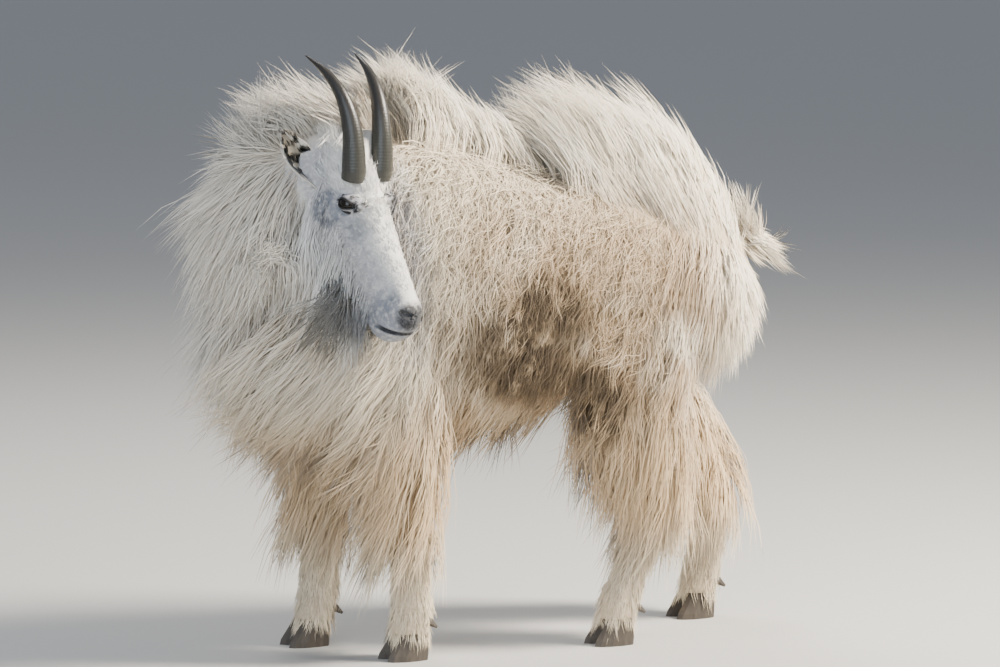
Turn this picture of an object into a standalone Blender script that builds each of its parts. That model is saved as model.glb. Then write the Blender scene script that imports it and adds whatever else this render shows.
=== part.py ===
"""A mountain goat billy in its long, shedding winter coat, life size, standing with its head turned back.

The goat faces -X, its left side is -Y, +Z is up and its hooves stand on z = 0. It is a still model:
its body is divided where the neck, head, legs, tail, ears, eyes, horns and hooves begin. The skin is
lofted through rows of sizes. Each node of flesh has a core that fills part of the coat's depth, and
flat, tapered locks grow from the core along the lie of the coat.
"""

import math
import random

import bmesh
import bpy
import numpy as np
from mathutils import Quaternion, Vector
from mathutils.bvhtree import BVHTree

# Clearances, and how much of the coat's depth the cores fill
GAP = 0.0003
CORE_SHARE = 0.4
SEED = 5

# The grain at which the skin of trunk, neck and upper legs is fused, and about how fine it stays
SKIN_GRAIN = 0.010
SKIN_TRIANGLES = 1050

# A lock: thickness, how deep its root is sunk, and its width at each ring as a share of the widest
LOCK_THICK = 0.012
LOCK_SUNK = 0.014
LOCK_TAPER = (0.75, 1.0, 0.62)
LOCK_CLEAR = 0.0008
LOCK_TWIST = 0.22
# A lock that would cross another node is tried again shorter, standing out more and rooted beside:
# its length, its lift, and how far its aim strays
LOCK_TRIES = (
    (1.0, 0.0, 0.0), (1.0, 0.15, 0.0), (0.9, 0.1, 0.1), (0.9, 0.3, 0.1), (0.75, 0.2, 0.15), (0.75, 0.4, 0.2),
    (0.6, 0.3, 0.2), (0.5, 0.5, 0.2),
)
# How much worse it is to cross a lock of the same node, and to be cut short, than to stand out
CROSSING_FAULT = 0.6
SHORT_FAULT = 1.5

# The trunk, at each X: mid height, half width, height above and depth below the middle,
# then the depth of coat over the back, on the flank and under the belly
TRUNK = (
    (-0.470, 0.600, 0.040, 0.060, 0.050, 0.10, 0.09, 0.08),
    (-0.430, 0.620, 0.090, 0.120, 0.120, 0.14, 0.10, 0.10),
    (-0.350, 0.640, 0.130, 0.185, 0.190, 0.16, 0.09, 0.11),
    (-0.220, 0.650, 0.150, 0.270, 0.210, 0.17, 0.07, 0.10),
    (-0.080, 0.650, 0.165, 0.235, 0.195, 0.14, 0.06, 0.08),
    (0.060, 0.645, 0.170, 0.205, 0.180, 0.135, 0.06, 0.085),
    (0.200, 0.650, 0.165, 0.215, 0.165, 0.18, 0.06, 0.08),
    (0.320, 0.655, 0.150, 0.195, 0.145, 0.13, 0.06, 0.06),
    (0.420, 0.655, 0.110, 0.120, 0.120, 0.10, 0.06, 0.05),
    (0.475, 0.655, 0.050, 0.060, 0.060, 0.07, 0.05, 0.05),
)
TRUNK_ROUNDNESS = 2.2
TRUNK_RINGS = 24

# The neck bends round to the goat's left along a Bezier curve from the shoulders to the poll.
# At each share of its length: half width, height above and below, then the coat's depth there
NECK_CURVE = (
    Vector((-0.200, 0.000, 0.735)),
    Vector((-0.410, 0.040, 0.790)),
    Vector((-0.450, 0.020, 0.860)),
    Vector((-0.357, -0.084, 0.870)),
)
NECK = (
    (0.00, 0.110, 0.130, 0.150, 0.07, 0.13, 0.10),
    (0.25, 0.100, 0.120, 0.130, 0.09, 0.14, 0.12),
    (0.50, 0.085, 0.100, 0.105, 0.12, 0.15, 0.13),
    (0.75, 0.070, 0.085, 0.090, 0.09, 0.11, 0.10),
    (0.90, 0.065, 0.078, 0.088, 0.05, 0.06, 0.07),
    (1.20, 0.060, 0.070, 0.085, 0.03, 0.03, 0.04),
)
NECK_RINGS = 14
NECK_SEAM = (Vector((-0.30, 0.0, 0.76)), Vector((-0.90, 0.0, 0.43)).normalized())
HEAD_SEAM = (Vector((-0.357, -0.084, 0.8704)), Vector((0.090, -0.931, -0.354)).normalized())

# The head's own frame: its middle is between the horns, a runs to the nose, h to the crown, w to its left
HEAD_AT = Vector((-0.334, -0.170, 0.880))
HEAD_A = Vector((0.138, -0.520, -0.843)).normalized()
HEAD_W = Vector((0.965, 0.258, 0.0)).normalized()
HEAD_H = HEAD_A.cross(HEAD_W).normalized()

# The head, at each a: h of its top and of its underside, and half width
HEAD = (
    (-0.100, -0.025, -0.110, 0.040),
    (-0.075, -0.010, -0.125, 0.050),
    (-0.030, 0.005, -0.145, 0.058),
    (0.020, 0.000, -0.152, 0.060),
    (0.050, -0.004, -0.150, 0.058),
    (0.090, -0.006, -0.141, 0.051),
    (0.130, -0.008, -0.128, 0.044),
    (0.170, -0.009, -0.118, 0.039),
    (0.205, -0.010, -0.113, 0.037),
    (0.235, -0.012, -0.112, 0.038),
    (0.260, -0.018, -0.108, 0.036),
    (0.276, -0.030, -0.096, 0.028),
    (0.286, -0.046, -0.080, 0.014),
)
HEAD_RINGS = (-0.10, -0.06, -0.03, 0.0, 0.03, 0.05, 0.075, 0.10, 0.13, 0.16,
              0.190, 0.210, 0.228, 0.246, 0.262, 0.276, 0.286)
HEAD_SIDES = 16
EYE_AT = (0.050, -0.035, 0.042)
EYE_RADIUS = 0.0145
LID_RADIUS = 0.0182
EYE_SLIT = (0.0125, 0.0078)
NOSTRIL_AT = (0.270, -0.038, 0.020)
NOSTRIL = (0.010, 0.0045, 0.007)
MOUTH = (0.205, 0.280)
MOUTH_LINE = 0.60
MOUTH_DEPTH = 0.0045

# Ears, at each share of their length: half width, and the angle that each side of the cup curls through
EAR_AT = (-0.020, -0.075, 0.052)
EAR_WAY = (-0.85, 0.15, 0.48)
EAR_CUP = (0.30, 0.80, 0.35)
EAR_LENGTH = 0.120
EAR_THICK = 0.004
EAR_SUNK = 0.12
EAR_RINGS = 7
EAR_STEPS = 5
EAR = (
    (0.00, 0.011, 1.70),
    (0.15, 0.014, 1.60),
    (0.35, 0.020, 1.35),
    (0.60, 0.0225, 1.15),
    (0.80, 0.017, 0.95),
    (1.00, 0.005, 0.60),
)

# Horns: (a, h, w) of the middle line from below the skin to the tip, and the radius
HORN = (
    (0.012, -0.014, 0.029, 0.0215),
    (0.000, 0.000, 0.030, 0.0225),
    (-0.060, 0.036, 0.033, 0.0180),
    (-0.118, 0.050, 0.039, 0.0130),
    (-0.170, 0.042, 0.047, 0.0080),
    (-0.220, 0.017, 0.055, 0.0012),
)
HORN_RINGS = 15
HORN_SIDES = 8
HORN_STEP = 0.002
HORN_RIDGE = 0.0010
HORN_RIDGED = 0.130

# Legs, at each height: how far behind the foot, distance from the middle plane, half length,
# half width and depth of coat. The X of the foot and of the leg's top are given for each leg
FORE = (
    (0.048, 0.012, 0.110, 0.031, 0.033, 0.000),
    (0.062, 0.012, 0.110, 0.026, 0.027, 0.004),
    (0.090, 0.018, 0.111, 0.027, 0.026, 0.008),
    (0.125, 0.014, 0.112, 0.022, 0.021, 0.012),
    (0.180, 0.012, 0.113, 0.023, 0.022, 0.022),
    (0.225, 0.006, 0.114, 0.029, 0.027, 0.040),
    (0.265, 0.004, 0.114, 0.034, 0.031, 0.055),
    (0.320, 0.010, 0.114, 0.036, 0.033, 0.070),
    (0.400, 0.012, 0.112, 0.048, 0.038, 0.075),
    (0.480, 0.010, 0.108, 0.062, 0.046, 0.070),
    (0.560, 0.010, 0.100, 0.078, 0.052, 0.060),
    (0.640, 0.010, 0.092, 0.085, 0.052, 0.050),
)
FORE_TOP = 0.55
FORE_FEET = {"left": (-0.240, -0.240), "right": (-0.3365, -0.270)}

# Hind legs, at each height: X of the left and of the right leg, distance from the middle plane,
# half length, half width and depth of coat. The left leg stands under the belly, the right one behind
HIND = (
    (0.048, 0.179, 0.455, 0.110, 0.031, 0.033, 0.000),
    (0.062, 0.182, 0.458, 0.110, 0.026, 0.028, 0.004),
    (0.090, 0.192, 0.468, 0.111, 0.028, 0.027, 0.008),
    (0.130, 0.206, 0.474, 0.112, 0.023, 0.022, 0.012),
    (0.190, 0.236, 0.480, 0.113, 0.024, 0.022, 0.024),
    (0.235, 0.256, 0.484, 0.114, 0.028, 0.024, 0.040),
    (0.275, 0.264, 0.482, 0.115, 0.038, 0.028, 0.050),
    (0.330, 0.250, 0.448, 0.118, 0.046, 0.034, 0.060),
    (0.400, 0.222, 0.392, 0.122, 0.070, 0.044, 0.065),
    (0.480, 0.196, 0.325, 0.122, 0.098, 0.056, 0.060),
    (0.560, 0.200, 0.285, 0.115, 0.120, 0.066, 0.055),
    (0.640, 0.215, 0.262, 0.105, 0.125, 0.066, 0.050),
)
HIND_FEET = {"left": 0.167, "right": 0.443}
SHIN_TOP = 0.240
LEG_INSIDE = 0.036
LEG_RINGS = 12
LEG_SIDES = 10

# Each leg's node starts under a roof that slants down to the outside of the body
ROOF_SLOPE = 1.7
ROOF_OUT = 0.21
FORE_ROOF = (0.56, 0.42)
FORE_SPAN = {"left": (-0.39, -0.10), "right": (-0.48, -0.12)}
HIND_ROOF = (0.62, 0.50)
HIND_SPAN = {"left": (0.03, 0.70), "right": (0.07, 0.70)}

# Hooves: two toes on each foot, at each height: length, width and how far back the middle lies
TOE = (
    (0.0000, 0.082, 0.034, 0.000),
    (0.0100, 0.080, 0.034, 0.002),
    (0.0280, 0.068, 0.032, 0.008),
    (0.0477, 0.054, 0.030, 0.014),
)
TOE_SIDES = 10
TOE_APART = 0.0185
TOE_SPLAY = 5.0
DEWCLAW = ((0.000, 0.009), (0.012, 0.010), (0.028, 0.003))
DEWCLAW_UP = 0.074
DEWCLAW_OUT = 0.014

# The short tail, at each share of its length: half width and half thickness, and its coat
TAIL_ROOT = Vector((0.420, 0.0, 0.765))
TAIL_TIP = Vector((0.545, 0.0, 0.695))
TAIL = (
    (0.0, 0.016, 0.014, 0.00),
    (0.3, 0.020, 0.015, 0.01),
    (0.7, 0.018, 0.012, 0.03),
    (1.0, 0.006, 0.004, 0.04),
)

# The beard's core hangs from the chin and throat, at each share of its length: half width, half depth
BEARD_ROOT = (0.170, -0.100, 0.0)
BEARD_TIP = (0.125, -0.232, -0.035)
BEARD = (
    (0.0, 0.020, 0.030, 0.0),
    (0.3, 0.022, 0.040, 0.0),
    (0.7, 0.016, 0.030, 0.0),
    (1.0, 0.004, 0.008, 0.0),
)

# Where the locks grow. The crest leans back on the hump, and forward where the rump's crest begins
CREST_ROWS = (-20, 0, 20)
CREST_SPAN = (-0.24, 0.43)
CREST_COUNT = 8
CREST_WIDE = 0.096
CREST_LEAN = ((-0.26, 0.30), (-0.05, 0.25), (0.06, -0.10), (0.15, -0.40), (0.25, 0.05), (0.44, 0.90))
FLANK_TIERS = (
    (38, 0.15, 0.48), (61, 0.16, 0.38), (84, 0.17, 0.34), (107, 0.18, 0.32), (130, 0.16, 0.32),
)
FLANK_COUNT = 6
FLANK_WIDE = 0.118
FLANK_SPAN = (-0.32, 0.42)
FLANK_LEAN = -0.35
BELLY_AT = (-0.05, 0.0, 0.05, 0.10)
BELLY_LONG = 0.085
BELLY_WIDE = 0.075
BRISKET_AT = Vector((-0.30, 0, 0.58))
BRISKET_WIDE = 0.085
BRISKET = (
    (-70, 0.1, 0.17), (-40, 0.1, 0.18), (-12, 0.1, 0.20), (12, 0.1, 0.20), (40, 0.1, 0.19), (65, 0.1, 0.18),
    (-55, -0.25, 0.18), (-27, -0.25, 0.19), (0, -0.25, 0.20), (27, -0.25, 0.20), (55, -0.25, 0.18),
    (-40, -0.65, 0.17), (-12, -0.6, 0.18), (14, -0.6, 0.18), (42, -0.65, 0.16),
)
RUMP_AT = Vector((0.35, 0, 0.66))
RUMP_WIDE = 0.085
RUMP = (
    (-50, 1.0, 0.12), (-17, 0.9, 0.12), (17, 0.9, 0.12), (50, 1.0, 0.12),
    (-65, 0.40, 0.13), (-35, 0.45, 0.13), (35, 0.45, 0.13), (65, 0.40, 0.13),
    (-60, 0.0, 0.14), (-28, 0.02, 0.15), (28, 0.02, 0.15), (60, 0.0, 0.14),
    (-45, -0.35, 0.14), (-15, -0.3, 0.14), (15, -0.3, 0.14), (45, -0.35, 0.14),
)
NECK_TIERS = (0.12, 0.30, 0.48, 0.66, 0.84)
NECK_ROUND = 7
NECK_WIDE = 0.085
FORE_TIERS = ((0.50, 0.15), (0.43, 0.16), (0.36, 0.15), (0.29, 0.13))
HIND_TIERS = ((0.56, 0.15), (0.47, 0.15), (0.385, 0.14), (0.30, 0.10))
LEG_ROUND = 5
LEG_WIDE = 0.080
LEG_LEAN = {"fore": -0.22, "hind": -0.15}
TAIL_LOCK = (0.085, 0.035)
TAIL_LOCKS = ((0.9, 0), (0.85, 65), (0.85, -65), (0.9, 150), (0.9, -150), (0.55, 90), (0.55, -90), (0.5, 10))
BEARD_LOCK = (0.10, 0.038)
BEARD_LOCKS = (
    (0.35, 90), (0.35, -90), (0.5, 45), (0.5, -45), (0.5, 135), (0.5, -135),
    (0.72, 90), (0.72, -90), (0.78, 0), (0.78, 180), (0.88, 50), (0.88, -130),
)
JAW_WIDE = 0.04
JAW_LOCKS = ((0.03, -0.09, 0.10), (0.07, -0.09, 0.09), (0.11, -0.08, 0.08), (0.15, -0.07, 0.06))

# Colours and roughness
COAT_WHITE = (0.74, 0.68, 0.57, 1.0)
HORN_BLACK = (0.012, 0.011, 0.011, 1.0)
HOOF_GREY = (0.06, 0.05, 0.042, 1.0)
EYE_DARK = (0.02, 0.012, 0.008, 1.0)


# Reading a row of sizes

def read_rows(rows, place):
    """Return the sizes at one place on the smooth curve through rows of (place, size, size, ...)."""
    table = np.array(rows)
    places = table[:, 0]
    place = min(max(place, places[0]), places[-1])
    k = min(int(np.searchsorted(places, place, side="right")) - 1, len(rows) - 2)

    def slope(i):
        low = max(i - 1, 0)
        high = min(i + 1, len(rows) - 1)
        return (table[high, 1:] - table[low, 1:]) / (places[high] - places[low])

    span = places[k + 1] - places[k]
    t = (place - places[k]) / span
    start = table[k, 1:]
    end = table[k + 1, 1:]
    return (
        start * (2 * t**3 - 3 * t**2 + 1)
        + end * (3 * t**2 - 2 * t**3)
        + slope(k) * span * (t**3 - 2 * t**2 + t)
        + slope(k + 1) * span * (t**3 - t**2)
    )


def signed_power(value, power):
    return math.copysign(abs(value) ** power, value)


# Making closed meshes

def loft(rings):
    """Join rings of equal, even counts into one closed mesh."""
    count = len(rings[0])
    points = [point for ring in rings for point in ring]
    faces = []
    for r in range(len(rings) - 1):
        for k in range(count):
            a = r * count + k
            b = r * count + (k + 1) % count
            faces.append((a, b, b + count))
            faces.append((a, b + count, a + count))
    # Each end is closed by a ladder between the two halves of its ring, which suits a crescent too
    for start, order in ((0, 1), ((len(rings) - 1) * count, -1)):
        for k in range(count // 2 - 1):
            near = start + k
            far = start + count - 1 - k
            faces.append((near, far, far - 1)[::order])
            if near + 1 != far - 1:
                faces.append((near, far - 1, near + 1)[::order])
    return points, faces


def place_object(name, points, faces):
    """Add a closed mesh to the scene with its faces pointing out."""
    mesh = bpy.data.meshes.new(name)
    mesh.from_pydata([tuple(point) for point in points], [], faces)
    edit = bmesh.new()
    edit.from_mesh(mesh)
    bmesh.ops.recalc_face_normals(edit, faces=edit.faces[:])
    if edit.calc_volume(signed=True) < 0:
        bmesh.ops.reverse_faces(edit, faces=edit.faces[:])
    edit.to_mesh(mesh)
    edit.free()
    made = bpy.data.objects.new(name, mesh)
    bpy.context.scene.collection.objects.link(made)
    return made


def swollen(points, faces, by):
    """Return the points moved outwards by a small amount, for the pocket that a piece sits in."""
    mesh = place_object("swollen", points, faces)
    moved = [vertex.co + vertex.normal * by for vertex in mesh.data.vertices]
    bpy.data.objects.remove(mesh)
    return moved


def apply_modifiers(piece):
    graph = bpy.context.evaluated_depsgraph_get()
    mesh = bpy.data.meshes.new_from_object(piece.evaluated_get(graph))
    piece.modifiers.clear()
    piece.data = mesh


def keep_largest(piece):
    """Keep only the largest closed surface of a piece."""
    edit = bmesh.new()
    edit.from_mesh(piece.data)
    left = set(edit.faces)
    surfaces = []
    while left:
        front = [left.pop()]
        surface = list(front)
        while front:
            face = front.pop()
            for edge in face.edges:
                for other in edge.link_faces:
                    if other in left:
                        left.remove(other)
                        front.append(other)
                        surface.append(other)
        surfaces.append(surface)
    surfaces.sort(key=lambda surface: sum(face.calc_area() for face in surface))
    for surface in surfaces[:-1]:
        bmesh.ops.delete(edit, geom=surface, context="FACES")
    loose = [vertex for vertex in edit.verts if not vertex.link_faces]
    bmesh.ops.delete(edit, geom=loose, context="VERTS")
    bmesh.ops.triangulate(edit, faces=edit.faces[:])
    edit.to_mesh(piece.data)
    edit.free()


def edge_faults(mesh):
    """Return the middles of the edges that don't lie between exactly two faces."""
    edit = bmesh.new()
    edit.from_mesh(mesh)
    found = [(edge.verts[0].co + edge.verts[1].co) / 2 for edge in edit.edges if len(edge.link_faces) != 2]
    edit.free()
    return found


def boolean(piece, tool, operation):
    """Cut or join a piece with another, which is used up."""
    modifier = piece.modifiers.new("join", "BOOLEAN")
    modifier.operation = operation
    modifier.object = tool
    apply_modifiers(piece)
    bpy.data.objects.remove(tool)
    keep_largest(piece)


def slice_off(piece, point, normal):
    """Cut a closed piece with a plane and drop what lies on the side that the normal points to."""
    edit = bmesh.new()
    edit.from_mesh(piece.data)
    everything = edit.verts[:] + edit.edges[:] + edit.faces[:]
    bmesh.ops.bisect_plane(edit, geom=everything, plane_co=point, plane_no=normal, clear_outer=True)
    rim = [edge for edge in edit.edges if edge.is_boundary]
    bmesh.ops.holes_fill(edit, edges=rim, sides=0)
    bmesh.ops.triangulate(edit, faces=edit.faces[:])
    bmesh.ops.recalc_face_normals(edit, faces=edit.faces[:])
    edit.to_mesh(piece.data)
    edit.free()


def copy_of(piece, name):
    made = bpy.data.objects.new(name, piece.data.copy())
    bpy.context.scene.collection.objects.link(made)
    return made


def melt(piece, grain, triangles):
    """Turn overlapping closed meshes into one smooth skin of about so many triangles."""
    remesh = piece.modifiers.new("skin", "REMESH")
    remesh.mode = "VOXEL"
    remesh.voxel_size = grain
    apply_modifiers(piece)
    thin = piece.modifiers.new("thin", "DECIMATE")
    thin.ratio = triangles / (2 * len(piece.data.polygons))
    apply_modifiers(piece)
    keep_largest(piece)


# The skin's shape

def trunk_ring(x, share, sides=24):
    middle, half, up, down, coat_up, coat_side, coat_down = read_rows(TRUNK, x)
    ring = []
    for k in range(sides):
        angle = 2 * math.pi * k / sides
        c = signed_power(math.cos(angle), 2 / TRUNK_ROUNDNESS)
        s = signed_power(math.sin(angle), 2 / TRUNK_ROUNDNESS)
        tall = up + share * coat_up if c > 0 else down + share * coat_down
        ring.append(Vector((x, -(half + share * coat_side) * s, middle + tall * c)))
    return ring


def neck_frame(t):
    """Return the point, direction, left and up of the neck at a share of its length, straight past 1."""
    a, b, c, d = NECK_CURVE
    s = min(t, 1.0)
    point = a * (1 - s) ** 3 + b * 3 * s * (1 - s) ** 2 + c * 3 * s * s * (1 - s) + d * s**3
    way = (b - a) * (1 - s) ** 2 + (c - b) * 2 * s * (1 - s) + (d - c) * s * s
    point = point + way * 3 * (t - s)
    way = way.normalized()
    left = Vector((0, 0, 1)).cross(way).normalized()
    return point, way, left, way.cross(left)


def neck_ring(t, share, sides=24):
    side, up, down, coat_side, coat_up, coat_down = read_rows(NECK, t)
    point, way, left, crown = neck_frame(t)
    ring = []
    for k in range(sides):
        angle = 2 * math.pi * k / sides
        c = math.cos(angle)
        tall = up + share * coat_up if c > 0 else down + share * coat_down
        ring.append(point + crown * (tall * c) + left * ((side + share * coat_side) * math.sin(angle)))
    return ring


def leg_ring(kind, side, z, share, sides=LEG_SIDES):
    out = -1 if side == "left" else 1
    if kind == "fore":
        back, away, long, wide, coat = read_rows(FORE, z)
        foot, top = FORE_FEET[side]
        x = foot + (top - foot) * min(z / FORE_TOP, 1.0) + back
    else:
        left, right, away, long, wide, coat = read_rows(HIND, z)
        x = left if side == "left" else right
    ring = []
    for k in range(sides):
        angle = 2 * math.pi * k / sides
        reach = long + share * coat
        across = wide + share * coat * 0.85
        ring.append(Vector((x + reach * math.cos(angle), out * away + across * math.sin(angle), z)))
    return ring


def in_head(a, h, w):
    return HEAD_AT + HEAD_A * a + HEAD_H * h + HEAD_W * w


def head_ring(a, sides=HEAD_SIDES):
    top, under, half = read_rows(HEAD, a)
    middle = (top + under) / 2
    tall = (top - under) / 2
    ring = []
    for k in range(sides):
        angle = 2 * math.pi * k / sides
        c = signed_power(math.cos(angle), 0.9)
        s = signed_power(math.sin(angle), 0.9)
        # The face narrows to the bridge of the nose
        across = half * s * (1 - 0.14 * c)
        up = middle + tall * c
        if MOUTH[0] <= a <= MOUTH[1] and abs(abs(angle / math.pi - 1) - (1 - MOUTH_LINE)) < 0.5 / sides * 2:
            across -= math.copysign(MOUTH_DEPTH, across)
        ring.append(in_head(a, up, across))
    return ring


def ellipsoid(middle, axes, sides=8, levels=6):
    """Closed ball with three half axes, each a vector."""
    points = [middle + axes[2]]
    faces = []
    for level in range(1, levels):
        tilt = math.pi * level / levels
        for k in range(sides):
            turn = 2 * math.pi * k / sides
            points.append(
                middle
                + axes[0] * (math.sin(tilt) * math.cos(turn))
                + axes[1] * (math.sin(tilt) * math.sin(turn))
                + axes[2] * math.cos(tilt)
            )
    points.append(middle - axes[2])
    last = len(points) - 1
    for k in range(sides):
        n = (k + 1) % sides
        faces.append((0, 1 + k, 1 + n))
        faces.append((last, last - sides + n, last - sides + k))
        for level in range(levels - 2):
            a = 1 + level * sides
            faces.append((a + k, a + sides + k, a + sides + n))
            faces.append((a + k, a + sides + n, a + n))
    return points, faces


def tube(rows, start, end, across, deep, sides, rings, share):
    """Loft ellipses along a straight line: rows of (share of length, half width, half depth, coat)."""
    made = []
    for r in range(rings):
        t = r / (rings - 1)
        wide, thick, coat = read_rows(rows, t)
        middle = start.lerp(end, t)
        made.append([
            middle
            + across * ((wide + share * coat) * math.cos(2 * math.pi * k / sides))
            + deep * ((thick + share * coat) * math.sin(2 * math.pi * k / sides))
            for k in range(sides)
        ])
    return loft(made)


# Pieces that sit in pockets of what they grow from: each returns points and faces

def horn_shape(out):
    path = [in_head(a, h, out * w) for a, h, w, _ in HORN]
    along = [0.0]
    for before, after in zip(path, path[1:]):
        along.append(along[-1] + (after - before).length)
    rows = [(along[k], *path[k], HORN[k][3]) for k in range(len(HORN))]
    rings = []
    for r in range(HORN_RINGS):
        t = along[-1] * r / (HORN_RINGS - 1)
        x, y, z, radius = read_rows(rows, t)
        ahead = read_rows(rows, min(t + HORN_STEP, along[-1]))
        behind = read_rows(rows, max(t - HORN_STEP, 0))
        way = (Vector(ahead[:3]) - Vector(behind[:3])).normalized()
        left = HEAD_H.cross(way).normalized()
        crown = way.cross(left)
        fade = max(0.0, 1 - t / HORN_RIDGED)
        radius += HORN_RIDGE * fade * math.cos(r * math.pi)
        rings.append([
            Vector((x, y, z))
            + left * (radius * 0.92 * math.cos(2 * math.pi * k / HORN_SIDES))
            + crown * (radius * math.sin(2 * math.pi * k / HORN_SIDES))
            for k in range(HORN_SIDES)
        ])
    return loft(rings)


def ear_shape(out):
    root = in_head(EAR_AT[0], EAR_AT[1], out * EAR_AT[2])
    way = (HEAD_A * EAR_WAY[0] + HEAD_H * EAR_WAY[1] + HEAD_W * (out * EAR_WAY[2])).normalized()
    cup = HEAD_A * EAR_CUP[0] + HEAD_H * EAR_CUP[1] + HEAD_W * (out * EAR_CUP[2])
    cup = (cup - way * cup.dot(way)).normalized()
    across = way.cross(cup)
    rings = []
    for r in range(EAR_RINGS):
        t = r / (EAR_RINGS - 1)
        half, curl = read_rows(EAR, t)
        middle = root + way * (EAR_LENGTH * (t - EAR_SUNK))
        radius = half / math.sin(min(curl, math.pi / 2))
        back = []
        inside = []
        for k in range(EAR_STEPS):
            share = 2 * k / (EAR_STEPS - 1) - 1
            angle = curl * share
            inward = cup * math.cos(angle) - across * math.sin(angle)
            wall = middle + cup * (radius - half * 0.6) - inward * radius
            thick = EAR_THICK * (1 - 0.45 * abs(share))
            back.append(wall - inward * (thick / 2))
            inside.append(wall + inward * (thick / 2))
        rings.append(back + inside[::-1])
    return loft(rings)


def toe_shape(foot, y, out, turn):
    """One toe: a pointed keratin shoe with a flat sole, straighter on its inner side."""
    rings = []
    for z, long, wide, back in TOE:
        ring = []
        for k in range(TOE_SIDES):
            angle = 2 * math.pi * k / TOE_SIDES
            forward = math.cos(angle)
            side = signed_power(math.sin(angle), 0.8)
            # The toe narrows to its tip, and the side by the cleft is flatter
            side *= 1 - 0.35 * max(forward, 0) ** 2
            if side * out < 0:
                side *= 0.82
            ring.append(Vector((-forward * long / 2 + back, side * wide / 2, z)))
        rings.append(ring)
    points, faces = loft(rings)
    c = math.cos(turn)
    s = math.sin(turn)
    return [Vector((foot + p.x * c - p.y * s, y + p.x * s + p.y * c, p.z)) for p in points], faces


def dewclaw_shape(x, y, out):
    way = Vector((0.75, out * 0.35, -0.62)).normalized()
    left = Vector((0, 0, 1)).cross(way).normalized()
    crown = way.cross(left)
    start = Vector((x, y, DEWCLAW_UP))
    rings = [
        [
            start + way * along
            + left * (radius * math.cos(2 * math.pi * k / 6))
            + crown * (radius * 0.8 * math.sin(2 * math.pi * k / 6))
            for k in range(6)
        ]
        for along, radius in DEWCLAW
    ]
    return loft(rings)


def leg_outside(kind, side, z, share):
    """Return X of the back of a leg and Y of its middle at a height."""
    ring = leg_ring(kind, side, z, share)
    return max(point.x for point in ring), sum(point.y for point in ring) / len(ring)


# Growing the coat

def lock_shape(root, normal, way, tip_way, length, wide, twist, spare=0.0):
    """A flat lock: a low, ridged section along a bent middle line, tapering to a point."""
    rings = len(LOCK_TAPER)
    step = length / rings
    point = root - way * LOCK_SUNK
    points = []
    faces = []
    for r, share in enumerate(LOCK_TAPER):
        turned = way.lerp(tip_way, r / (rings - 1)).normalized()
        side = turned.cross(normal)
        if side.length < 0.2:
            side = turned.cross(Vector((1, 0, 0)))
        side = Quaternion(turned, twist) @ side.normalized()
        over = side.cross(turned)
        reach = share * wide / 2 + spare
        depth = LOCK_THICK * (0.5 + 0.5 * share) + spare
        points += [point + side * reach, point + over * depth, point - side * reach]
        point = point + turned * (step + (LOCK_SUNK if r == 0 else 0.0))
    points.append(point + turned * spare)
    tip = len(points) - 1
    faces.append((0, 2, 1))
    for r in range(rings - 1):
        for k in range(3):
            a = 3 * r + k
            b = 3 * r + (k + 1) % 3
            faces.append((a, b, b + 3))
            faces.append((a, b + 3, a + 3))
    for k in range(3):
        faces.append((tip - 3 + k, tip - 3 + (k + 1) % 3, tip))
    return points, faces


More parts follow.
